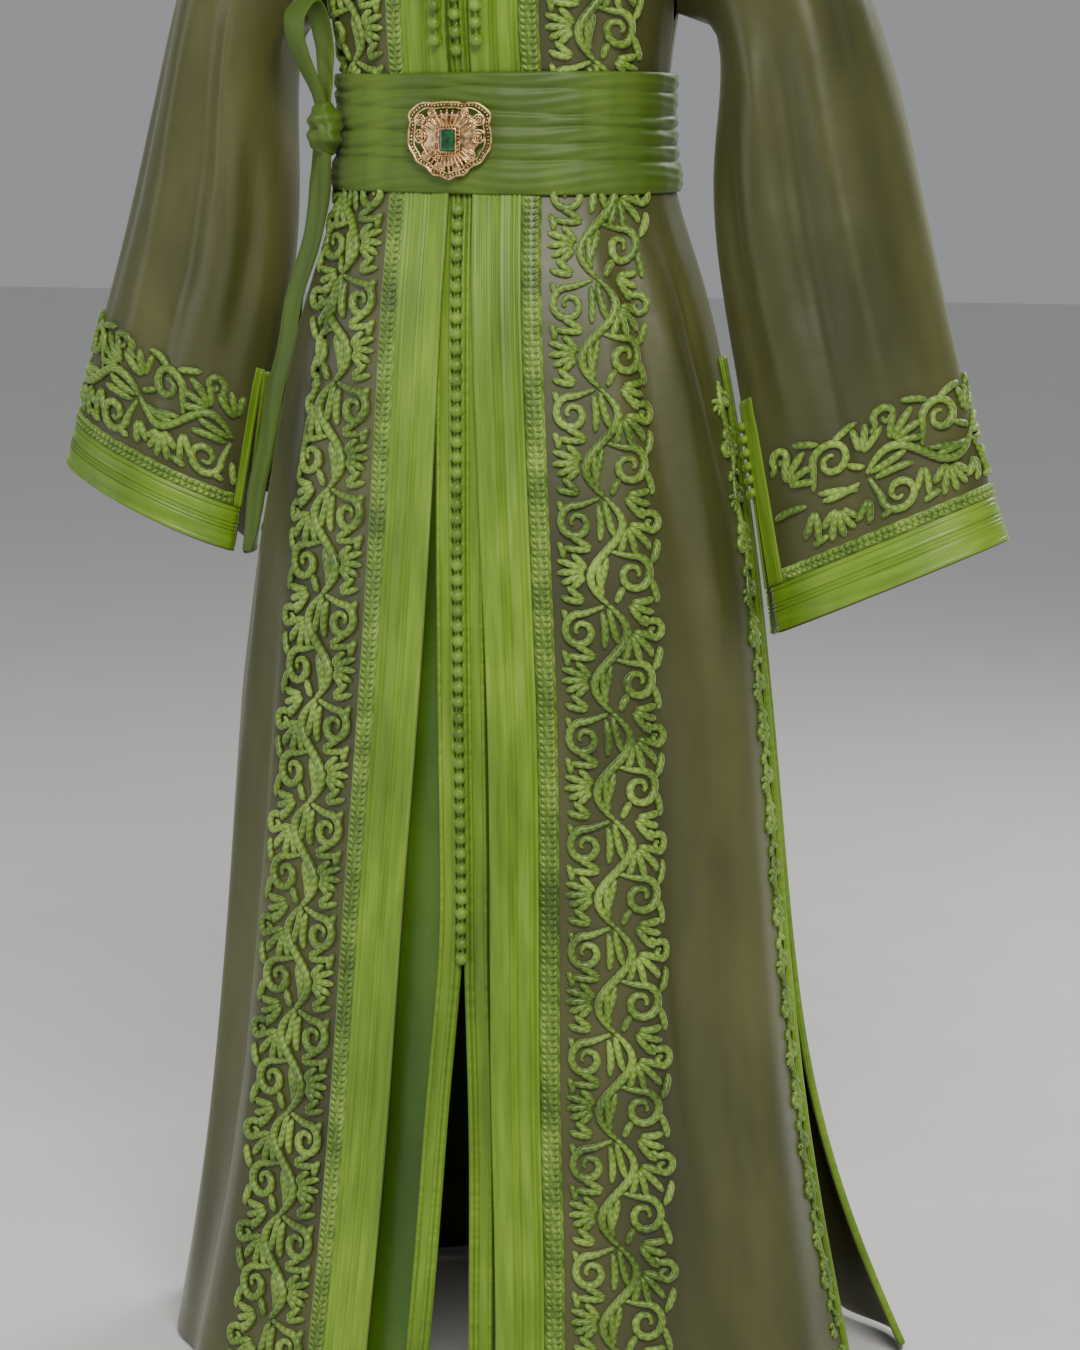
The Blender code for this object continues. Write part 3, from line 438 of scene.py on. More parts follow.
def make_wardrobe() -> Wardrobe:
    """Returns the kaftan's materials."""
    return Wardrobe(
        robe=SatinFinish("robe_satin", linear(48, 50, 21), linear(67, 69, 31), linear(88, 88, 46),
                         sheen=0.15).make(),
        under=SatinFinish("under_satin", linear(32, 56, 6), linear(54, 86, 12), linear(80, 116, 24),
                          sheen=0.08).make(),
        sash=SatinFinish("sash_silk", linear(48, 70, 8), linear(70, 96, 14), linear(94, 122, 26),
                         roughness=(0.48, 0.66), sheen=0.15, pucker=0.10).make(),
        cord=CordFinish("embroidery_cord", linear(58, 84, 18), linear(96, 126, 38),
                        linear(144, 172, 72)).make(),
        silk=SilkFinish("band_silk", linear(72, 102, 10), linear(98, 132, 22), linear(128, 162, 42)).make(),
        bead=CordFinish("button_cord", linear(62, 92, 14), linear(96, 128, 28), linear(136, 170, 58),
                        turns=900.0).make(),
        gold=GoldFinish("gold", linear(168, 124, 74), linear(242, 210, 160)).make(),
        stone=StoneFinish("green_glass", linear(0, 40, 16), linear(4, 92, 38)).make(),
        floor=FloorFinish("pale_floor", (0.78, 0.77, 0.75)).make(),
    )


# Placing things on the cloth


def unit(vectors: np.ndarray) -> np.ndarray:
    """Scales vectors to length one.

    Args:
        vectors: One vector, or a table of them.

    Returns:
        The scaled vectors.
    """
    lengths = np.linalg.norm(vectors, axis=-1, keepdims=True)
    return vectors / np.maximum(lengths, 1e-12)


def smooth_line(points: Sequence[Sequence[float]], spacing: float) -> np.ndarray:
    """Draws an even Catmull-Rom line through points.

    Args:
        points: The points.
        spacing: Distance between the line's own points.

    Returns:
        The line's points.
    """
    knots = np.array(points, float)
    padded = np.vstack((2 * knots[0] - knots[1], knots, 2 * knots[-1] - knots[-2]))
    pieces = []
    for first, second, third, fourth in zip(padded, padded[1:], padded[2:], padded[3:]):
        u = np.linspace(0.0, 1.0, 9)[:-1, None]
        pieces.append(0.5 * (2 * second + (third - first) * u
                             + (2 * first - 5 * second + 4 * third - fourth) * u ** 2
                             + (3 * second - first - 3 * third + fourth) * u ** 3))
    pieces.append(knots[-1:])
    line = np.vstack(pieces)
    lengths = np.concatenate(([0.0], np.cumsum(np.linalg.norm(np.diff(line, axis=0), axis=1))))
    count = max(3, int(round(lengths[-1] / spacing)) + 1)
    places = np.linspace(0.0, lengths[-1], count)
    return np.column_stack([np.interp(places, lengths, line[:, k]) for k in range(line.shape[1])])


class Surface:
    """The outermost face of some meshes, found by rays."""

    def __init__(self, objects: Sequence[bpy.types.Object]) -> None:
        """Gathers the meshes.

        Args:
            objects: The objects that make up the surface.
        """
        vertices: list[Vector] = []
        polygons: list[tuple[int, ...]] = []
        for item in objects:
            start = len(vertices)
            vertices.extend(vertex.co.copy() for vertex in item.data.vertices)
            polygons.extend(tuple(start + index for index in face.vertices) for face in item.data.polygons)
        self.tree = BVHTree.FromPolygons(vertices, polygons)

    def hit(self, origin: Point, direction: Point, reach: float) -> Optional[Point]:
        """Sends one ray.

        Args:
            origin: Where it starts.
            direction: Where it goes.
            reach: How far it goes.

        Returns:
            The first point that it meets, if any.
        """
        place, _, _, _ = self.tree.ray_cast(Vector(origin), Vector(direction), reach)
        return None if place is None else np.array(place)

    def around(self, angle: float, height: float) -> Optional[Point]:
        """Looks in level from outside towards the upright axis.

        Args:
            angle: Degrees from the front (-Y) towards +X.
            height: Height above the hem.

        Returns:
            The point there, if the surface has one.
        """
        turn = math.radians(angle)
        outward = np.array([math.sin(turn), -math.cos(turn), 0.0])
        origin = outward * 0.7 + np.array([0.0, 0.0, height - SHOULDER_HEIGHT])
        return self.hit(origin, -outward, 0.7)


class PatchChart:
    """A patch of cloth by distance across (s) and along (t), both in metres."""

    def __init__(self, points: np.ndarray, s_step: float, t_start: float, t_step: float,
                 outward: Callable[[np.ndarray], np.ndarray]) -> None:
        """Keeps the patch's grid.

        Args:
            points: Points by row (t) and column (s).
            s_step: Distance between columns.
            t_start: t of the first row.
            t_step: Distance between rows.
            outward: Gives a rough outward direction for each point.
        """
        self.points = points
        self.s_step = s_step
        self.t_start = t_start
        self.t_step = t_step
        across = np.gradient(points, axis=1)
        along = np.gradient(points, axis=0)
        normals = unit(np.cross(across, along))
        facing = np.sum(normals * outward(points), axis=-1, keepdims=True)
        self.normals = normals * np.where(facing < 0, -1.0, 1.0)

    @property
    def s_end(self) -> float:
        """Returns the greatest distance across."""
        return (self.points.shape[1] - 1) * self.s_step

    @property
    def t_end(self) -> float:
        """Returns the greatest distance along."""
        return self.t_start + (self.points.shape[0] - 1) * self.t_step

    def at(self, s: np.ndarray, t: np.ndarray) -> tuple[np.ndarray, np.ndarray]:
        """Finds places on the cloth.

        Args:
            s: Distances across.
            t: Distances along.

        Returns:
            Their points and normals.
        """
        row = np.clip((np.asarray(t, float) - self.t_start) / self.t_step, 0, self.points.shape[0] - 1.001)
        col = np.clip(np.asarray(s, float) / self.s_step, 0, self.points.shape[1] - 1.001)
        r = row.astype(int)
        c = col.astype(int)
        v = (row - r)[..., None]
        u = (col - c)[..., None]
        found = []
        for table in (self.points, self.normals):
            low = table[r, c] * (1 - u) + table[r, c + 1] * u
            high = table[r + 1, c] * (1 - u) + table[r + 1, c + 1] * u
            found.append(low * (1 - v) + high * v)
        return found[0], unit(found[1])


def level_outward(points: np.ndarray) -> np.ndarray:
    """Rough outward direction round the upright axis.

    Args:
        points: Table of points.

    Returns:
        The directions.
    """
    flat = points * np.array([1.0, 1.0, 0.0])
    return unit(flat)


# Degrees past which the search for an edge gives up
SEARCH_LIMIT = 90.0


def edge_chart(surface: Surface, start: float, turn: float, heights: Sequence[float], width: float,
               s_step: float = 0.003) -> PatchChart:
    """Charts cloth round the body from its first edge that rays meet.

    Args:
        surface: The cloth.
        start: Angle, clear of the cloth, from which the search starts.
        turn: Step of the search in degrees, with its direction.
        heights: Evenly spaced heights above the hem.
        width: How far the chart reaches from the edge.
        s_step: Distance between its columns.

    Returns:
        The chart.
    """
    columns = np.arange(0.0, width + s_step / 2, s_step)
    rows = []
    for height in heights:
        angle = start
        found = surface.around(angle, height)
        while found is None and abs(angle - start) < SEARCH_LIMIT:
            angle += turn
            found = surface.around(angle, height)
        if found is None:
            rows.append(rows[-1].copy())
            continue
        outside = angle - turn
        for _ in range(7):
            middle = (outside + angle) / 2
            if surface.around(middle, height) is None:
                outside = middle
            else:
                angle = middle
                found = surface.around(angle, height)
        line = [found]
        length = 0.0
        while length < width:
            angle += turn
            point = surface.around(angle, height)
            if point is None:
                break
            length += float(np.linalg.norm(point - line[-1]))
            line.append(point)
        table = np.array(line)
        lengths = np.concatenate(([0.0], np.cumsum(np.linalg.norm(np.diff(table, axis=0), axis=1))))
        rows.append(np.column_stack([np.interp(columns, lengths, table[:, k]) for k in range(3)]))
    grid = np.array(rows)
    kernel = np.array([0.25, 0.5, 0.25])
    blurred = grid.copy()
    for k in range(3):
        inner = np.apply_along_axis(lambda line: np.convolve(line, kernel, "valid"), 0, grid[:, :, k])
        blurred[1:-1, :, k] = inner
    return PatchChart(blurred, s_step, heights[0], heights[1] - heights[0], level_outward)


# Meshes laid on the cloth


@dataclass
class MeshBuilder:
    """Gathers vertices, faces and UVs of one piece."""

    vertices: list[np.ndarray] = field(default_factory=list)
    faces: list[tuple[int, ...]] = field(default_factory=list)
    uvs: list[np.ndarray] = field(default_factory=list)
    count: int = 0

    def add(self, points: np.ndarray, uvs: np.ndarray) -> int:
        """Adds vertices.

        Args:
            points: Table of their places.
            uvs: Table of their UVs.

        Returns:
            Index of the first one.
        """
        start = self.count
        self.vertices.append(points.reshape(-1, 3))
        self.uvs.append(uvs.reshape(-1, 2))
        self.count += len(self.vertices[-1])
        return start

    def tube(self, centres: np.ndarray, normals: np.ndarray, widths: np.ndarray, heights: np.ndarray,
             sides: int = 6, sink: float = 0.25) -> None:
        """Adds a closed cord that lies on the cloth.

        Args:
            centres: Points on the cloth.
            normals: Normals there.
            widths: Half widths along it.
            heights: Half heights along it.
            sides: Number of its sides.
            sink: Share of its half height that is below the cloth.
        """
        along = unit(np.gradient(centres, axis=0))
        across = unit(np.cross(along, normals))
        turns = np.arange(sides) / sides * 2 * math.pi + math.pi / 2
        lifted = centres + normals * (heights * (1 - sink))[:, None]
        rings = (lifted[:, None, :]
                 + across[:, None, :] * (np.cos(turns)[None, :] * widths[:, None])[:, :, None]
                 + normals[:, None, :] * (np.sin(turns)[None, :] * heights[:, None])[:, :, None])
        lengths = np.concatenate(([0.0], np.cumsum(np.linalg.norm(np.diff(centres, axis=0), axis=1))))
        girth = np.linspace(0.0, 2 * math.pi, sides, endpoint=False)[None, :] * widths[:, None]
        uvs = np.stack((np.broadcast_to(lengths[:, None], girth.shape), girth), axis=-1)
        start = self.add(rings, uvs)
        count = len(centres)
        for row in range(count - 1):
            for side in range(sides):
                a = start + row * sides + side
                b = start + row * sides + (side + 1) % sides
                self.faces.append((a, b, b + sides, a + sides))
        self.faces.append(tuple(start + side for side in range(sides))[::-1])
        self.faces.append(tuple(start + (count - 1) * sides + side for side in range(sides)))

    def slab(self, top: np.ndarray, bottom: np.ndarray, uvs: np.ndarray) -> None:
        """Adds a closed strip from its upper and lower grids.

        Args:
            top: Upper points by row and column.
            bottom: Lower points by row and column.
            uvs: UVs by row and column.
        """
        rows, columns = top.shape[:2]
        upper = self.add(top, uvs)
        lower = self.add(bottom, uvs)

        def index(start: int, row: int, column: int) -> int:
            """Returns a vertex's number."""
            return start + row * columns + column

        for row in range(rows - 1):
            for column in range(columns - 1):
                corners = ((row, column), (row, column + 1), (row + 1, column + 1), (row + 1, column))
                self.faces.append(tuple(index(upper, *corner) for corner in corners))
                self.faces.append(tuple(index(lower, *corner) for corner in corners[::-1]))
        rim = [(0, column) for column in range(columns)]
        rim += [(row, columns - 1) for row in range(1, rows)]
        rim += [(rows - 1, column) for column in range(columns - 2, -1, -1)]
        rim += [(row, 0) for row in range(rows - 2, 0, -1)]
        for first, second in zip(rim, rim[1:] + rim[:1]):
            self.faces.append((index(upper, *second), index(upper, *first), index(lower, *first),
                               index(lower, *second)))

    def build(self, name: str, material: bpy.types.Material) -> bpy.types.Object:
        """Makes the object.

        Args:
            name: Its name.
            material: Its material.

        Returns:
            The object, with smooth faces that point outwards.
        """
        mesh = bpy.data.meshes.new(name)
        mesh.from_pydata(np.vstack(self.vertices).tolist(), [], self.faces)
        table = np.vstack(self.uvs)
        layer = mesh.uv_layers.new(name="UVMap")
        corners = np.zeros(len(mesh.loops), np.int64)
        mesh.loops.foreach_get("vertex_index", corners)
        layer.data.foreach_set("uv", table[corners].astype(np.float32).ravel())
        item = bpy.data.objects.new(name, mesh)
        bpy.context.scene.collection.objects.link(item)
        recalculate(item)
        mesh.materials.append(material)
        mesh.shade_smooth()
        return item


def only(item: bpy.types.Object) -> None:
    """Selects one object and makes it active.

    Args:
        item: The object.
    """
    bpy.ops.object.select_all(action="DESELECT")
    item.select_set(True)
    bpy.context.view_layer.objects.active = item


def recalculate(item: bpy.types.Object) -> None:
    """Turns an object's faces outwards.

    Args:
        item: The object.
    """
    only(item)
    bpy.ops.object.mode_set(mode="EDIT")
    bpy.ops.mesh.select_all(action="SELECT")
    bpy.ops.mesh.normals_make_consistent(inside=False)
    bpy.ops.object.mode_set(mode="OBJECT")


def enter(item: bpy.types.Object, nodes: Sequence[str] = ()) -> bpy.types.Object:
    """Gives a finished piece to the frame.

    Args:
        item: The piece.
        nodes: CAD nodes that it stands for.

    Returns:
        The piece.
    """
    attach(item, ROOT_BODY)
    if nodes:
        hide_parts(*nodes)
    triangles = sum(len(face.vertices) - 2 for face in item.data.polygons)
    log.info("%s: %d triangles", item.name, triangles)
    return item


# Cloth


@dataclass(frozen=True)
class Crease:
    """A soft ridge, or a trough where its depth is negative, along a line on the cloth."""

    path: tuple[tuple[float, float], ...]
    width: float
    depth: float


def crease_cloth(item: bpy.types.Object, creases: Sequence[Crease],
                 locate: Callable[[float, float], Optional[Point]],
                 outward: Callable[[np.ndarray], np.ndarray]) -> None:
    """Moves the cloth along its creases, both faces alike.

    Args:
        item: The cloth.
        creases: Its creases.
        locate: Gives the point of a crease's place.
        outward: Gives the outward direction at points.
    """
    mesh = item.data
    places = np.zeros(len(mesh.vertices) * 3)
    mesh.vertices.foreach_get("co", places)
    places = places.reshape(-1, 3)
    moved = np.zeros_like(places)
    for crease in creases:
        guide = np.array(crease.path)
        steps = np.linspace(0, 1, 28)
        shares = np.linspace(0, 1, len(guide))
        spots = []
        for step in steps:
            place = [float(np.interp(step, shares, guide[:, k])) for k in range(2)]
            spots.append(locate(*place))
        known = [spot for spot in spots if spot is not None]
        if len(known) < 6:
            continue
        line = smooth_line(np.array(known), 0.008)
        low = line.min(axis=0) - 3 * crease.width
        high = line.max(axis=0) + 3 * crease.width
        near = np.flatnonzero(np.all((places > low) & (places < high), axis=1))
        if not len(near):
            continue
        gaps = np.linalg.norm(places[near][:, None, :] - line[None, :, :], axis=2)
        closest = gaps.argmin(axis=1)
        away = gaps[np.arange(len(near)), closest]
        ends = np.sin(math.pi * np.clip((closest + 0.5) / len(line), 0, 1)) ** 0.6
        push = crease.depth * ends * np.exp(-((away / crease.width) ** 2))
        moved[near] += outward(line)[closest] * push[:, None]
    mesh.vertices.foreach_set("co", (places + moved).ravel())
    mesh.update()


def copy_cloth(node: str, name: str, levels: int) -> bpy.types.Object:
    """Copies a CAD wall as smooth cloth.

    Args:
        node: The wall's node.
        name: Name of the copy.
        levels: How finely it is divided.

    Returns:
        The copy.
    """
    item = bpy.data.objects.new(name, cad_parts[node].data.copy())
    bpy.context.scene.collection.objects.link(item)
    item.data.materials.clear()
    only(item)
    bpy.ops.mesh.customdata_custom_splitnormals_clear()
    bpy.ops.object.mode_set(mode="EDIT")
    bpy.ops.mesh.select_all(action="SELECT")
    bpy.ops.mesh.remove_doubles(threshold=0.00002)
    bpy.ops.mesh.normals_make_consistent(inside=False)
    bpy.ops.mesh.tris_convert_to_quads(face_threshold=math.radians(70), shape_threshold=math.radians(100))
    bpy.ops.object.mode_set(mode="OBJECT")
    crease_rim(item)
    if levels:
        modifier = item.modifiers.new("Smooth", "SUBSURF")
        modifier.levels = levels
        modifier.render_levels = levels
        bpy.ops.object.modifier_apply(modifier=modifier.name)
    item.data.shade_smooth()
    return item


def crease_rim(item: bpy.types.Object) -> None:
    """Keeps the rim of a wall sharp through subdivision.

    Args:
        item: The wall.
    """
    mesh = bmesh.new()
    mesh.from_mesh(item.data)
    layer = mesh.edges.layers.float.get("crease_edge") or mesh.edges.layers.float.new("crease_edge")
    for edge in mesh.edges:
        if len(edge.link_faces) == 2 and edge.calc_face_angle(0.0) > math.radians(55):
            edge[layer] = 0.85
    mesh.to_mesh(item.data)
    mesh.free()


# Measures shared by the trims, in metres
BAND_WIDTH = 0.043
BRAID_END = 0.061
MOTIF_PITCH = 0.093
FRONT_TOP = 1.500
CLOTH_GAP = 0.0003
FRONT_HEIGHTS = np.arange(0.004, FRONT_TOP + 0.001, 0.008)

CORD_SWELL = 1.62

Place = tuple[float, float]
Stroke = tuple[float, list[Place]]


def scroll(lead: Place, centre: Place, radius: float, start: float, sweep: float) -> list[Place]:
    """Draws a stem that winds into a scroll.

    Args:
        lead: Where it leaves the main stem.
        centre: Middle of the scroll.
        radius: Its outer radius.
        start: Angle in degrees at which the scroll begins.
        sweep: Degrees through which it winds, negative the other way.

    Returns:
        Its places.
    """
    places = [lead]
    for share in np.linspace(0.0, 1.0, 15):
        angle = math.radians(start + sweep * share)
        reach = radius * (1.0 - 0.78 * share)
        places.append((centre[0] + reach * math.cos(angle), centre[1] + reach * math.sin(angle)))
    return places


def leaf(root: Place, heading: float, length: float, bend: float) -> list[Place]:
    """Draws one bending leaf.

    Args:
        root: Where it starts.
        heading: Its direction there in degrees, 0 across and 90 along.
        length: Its length.
        bend: Degrees by which it turns.

    Returns:
        Its places.
    """
    places = [root]
    for share in (0.125, 0.375, 0.625, 0.875):
        angle = math.radians(heading + bend * share)
        s, t = places[-1]
        places.append((s + length / 4 * math.cos(angle), t + length / 4 * math.sin(angle)))
    return places


def stem(middle: float, swing: float, pitch: float) -> list[Place]:
    """Draws the waving main stem of one repeat.

    Args:
        middle: Its middle line.
        swing: How far it waves to each side.
        pitch: Length of the repeat.

    Returns:
        Its places.
    """
    shares = np.linspace(0.0, 1.0, 13)
    return [(middle + swing * math.sin(math.tau * share), pitch * share) for share in shares]


def fan(half_width: float, root: Place, headings: tuple[float, ...], length: float,
        bend: float) -> list[Stroke]:
    """Draws leaves that spread from one root.

    Args:
        half_width: Half a leaf's width.
        root: Where they start, a little apart.
        headings: Their directions.
        length: Length of the longest.
        bend: Degrees by which they turn.

    Returns:
        The strokes.
    """
    strokes = []
    for index, heading in enumerate(headings):
        turn = math.radians(heading)
        own_root = (root[0] + 4.5 * math.cos(turn), root[1] + 4.5 * math.sin(turn))
        strokes.append((half_width, leaf(own_root, heading, length * (1.0 - 0.09 * index), bend)))
    return strokes


# One repeat of the wide embroidery in mm: half width, then places across and along
MOTIF: list[Stroke] = [
    (2.4, stem(45.0, 15.0, 93.0)),
    (2.2, scroll((41.0, 1.0), (20.0, 22.0), 16.0, -75.0, -500.0)),
    (2.2, scroll((49.0, 47.0), (68.0, 67.0), 17.0, -105.0, 500.0)),
    (2.1, scroll((76.0, 10.0), (86.0, 24.0), 10.0, -120.0, 400.0)),
    (2.1, leaf((45.0, 3.0), 84.0, 33.0, -16.0)),
    (2.1, leaf((39.0, 6.0), 78.0, 32.0, 22.0)),
    (2.1, leaf((45.0, 51.0), 98.0, 33.0, 18.0)),
    (2.1, leaf((38.0, 53.0), 96.0, 32.0, -20.0)),
    (2.0, leaf((90.0, 93.0), 262.0, 24.0, -20.0)),
    (2.0, leaf((93.0, 38.0), 100.0, 22.0, 20.0)),
    (2.0, leaf((52.0, 92.0), 285.0, 16.0, 25.0)),
    (1.9, leaf((5.0, 3.0), 60.0, 15.0, 25.0)),
    (1.9, leaf((4.0, 38.0), 62.0, 15.0, 25.0)),
    *fan(2.1, (62.0, 23.0), (38.0, 66.0, 94.0, 10.0), 28.0, 18.0),
    *fan(2.1, (62.0, 90.0), (62.0, 34.0, 6.0), 24.0, -24.0),
    *fan(2.1, (29.0, 66.0), (212.0, 190.0, 168.0, 238.0, 146.0), 25.0, -18.0),
    *fan(2.0, (28.0, 90.0), (182.0, 208.0), 20.0, 24.0),
    *fan(2.0, (36.0, 45.0), (178.0, 204.0), 25.0, 16.0),
]


def relief_of_band(s: np.ndarray) -> np.ndarray:
    """Height of the ribbed band's face above the cloth.

    Args:
        s: Distances from its edge.

    Returns:
        Heights.
    """
    height = np.full_like(s, 0.0015)
    for centre in (0.0170, 0.0204, 0.0238, 0.0350, 0.0392):
        height -= 0.0013 * np.exp(-(((s - centre) / 0.00075) ** 2))
        height += 0.0006 * np.exp(-(((s - centre - 0.0017) / 0.0009) ** 2))
    height += 0.0009 * np.exp(-(((s - 0.0018) / 0.0016) ** 2))
    return height


def plain_relief(thick: float) -> Callable[[np.ndarray], np.ndarray]:
    """Makes the relief of a plain strip.

    Args:
        thick: Its thickness.

    Returns:
        The function that gives its height.
    """
    return lambda s: np.full_like(s, thick)


@dataclass
class Strip:
    """A trim sewn flat on the cloth."""

    name: str
    chart: PatchChart
    s_start: float
    s_end: float
    t_start: float
    t_end: float
    relief: Callable[[np.ndarray], np.ndarray]
    s_cells: int = 12
    t_pitch: float = 0.008
    base: float = CLOTH_GAP
    turned: bool = False

    def add_to(self, builder: MeshBuilder) -> None:
        """Adds the strip's mesh.

        Args:
            builder: Where it goes.
        """
        s = np.linspace(self.s_start, self.s_end, self.s_cells + 1)
        t = np.linspace(self.t_start, self.t_end, max(2, int((self.t_end - self.t_start) / self.t_pitch)) + 1)
        grid_s, grid_t = np.meshgrid(s, t)
        if self.turned:
            points, normals = self.chart.at(grid_t, grid_s)
        else:
            points, normals = self.chart.at(grid_s, grid_t)
        from_edge = grid_s - self.s_start if self.s_end > self.s_start else self.s_start - grid_s
        rise = self.relief(from_edge)
        top = points + normals * (self.base + rise)[..., None]
        bottom = points + normals * (self.base * np.ones_like(rise))[..., None]
        builder.slab(top, bottom, np.stack((grid_s, grid_t), axis=-1))


@dataclass
class CordWork:
    """Raised cords laid on a chart."""

    chart: PatchChart
    builder: MeshBuilder
    spacing: float = 0.0026
    sides: int = 6

    def stroke(self, path: np.ndarray, half_width: float, taper: float = 0.45) -> None:
        """Lays one cord.

        Args:
            path: Its places (s, t) in metres.
            half_width: Half its width at the middle.
            taper: Share of the half width that is left at its ends.
        """
        line = smooth_line(path, self.spacing)
        points, normals = self.chart.at(line[:, 0], line[:, 1])
        share = np.linspace(0.0, 1.0, len(line))
        swell = taper + (1 - taper) * np.minimum(1.0, 4.2 * np.minimum(share, 1 - share)) ** 0.7
        widths = half_width * swell * CORD_SWELL
        self.builder.tube(points, normals, widths, widths * 0.88, self.sides)

    def repeat(self, t_first: float, down: float, s_start: float, scale_s: float = 1.0, scale_t: float = 1.0,
               s_room: float = 1.0, t_room: tuple[float, float] = (-1e9, 1e9)) -> None:
        """Lays one repeat of the motif.

        Args:
            t_first: t of the repeat's start.
            down: Sign of the motif's direction in t.
            s_start: s of the braid's outer side.
            scale_s: Scale across.
            scale_t: Scale along.
            s_room: Greatest s that it may reach.
            t_room: Least and greatest t that it may reach.
        """
        for half_width, places in MOTIF:
            table = np.array(places, float) / 1000.0
            s = s_start + 0.003 + table[:, 0] * scale_s
            t = t_first + down * table[:, 1] * scale_t
            inside = (s < s_room) & (t > t_room[0]) & (t < t_room[1])
            if not inside.all():
                continue
            self.stroke(np.column_stack((s, t)), half_width / 1000.0)

    def herringbone(self, s_start: float, s_end: float, t_start: float, t_end: float,
                    pitch: float = 0.0056) -> None:
        """Lays a plait of slanting stitches.

        Args:
            s_start: Its first side.
            s_end: Its other side.
            t_start: Where it starts.
            t_end: Where it ends.
            pitch: Distance between its stitches.
        """
        middle = (s_start + s_end) / 2
        slant = pitch * 0.95
        for t in np.arange(t_start + slant, t_end - slant, pitch):
            for edge in (s_start + 0.0014, s_end - 0.0014):
                inner = middle + (edge - middle) * 0.10
                between = (edge * 1.1 + inner * 0.9) / 2
                path = np.array([(edge, t + slant), (between, t + slant * 0.42), (inner, t)])
                line = smooth_line(path, 0.0023)
                points, normals = self.chart.at(line[:, 0], line[:, 1])
                share = np.linspace(0.0, 1.0, len(line))
                widths = 0.0019 * (0.5 + 0.5 * np.sin(math.pi * share) ** 0.6)
                self.builder.tube(points, normals, widths, widths * 0.9, self.sides, 0.1)


def body_locator(surface: Surface) -> Callable[[float, float], Optional[Point]]:
    """Makes the function that finds an angle and height on the body's cloth.

    Args:
        surface: The cloth.

    Returns:
        The function.
    """
    return lambda angle, height: surface.around(angle, height)


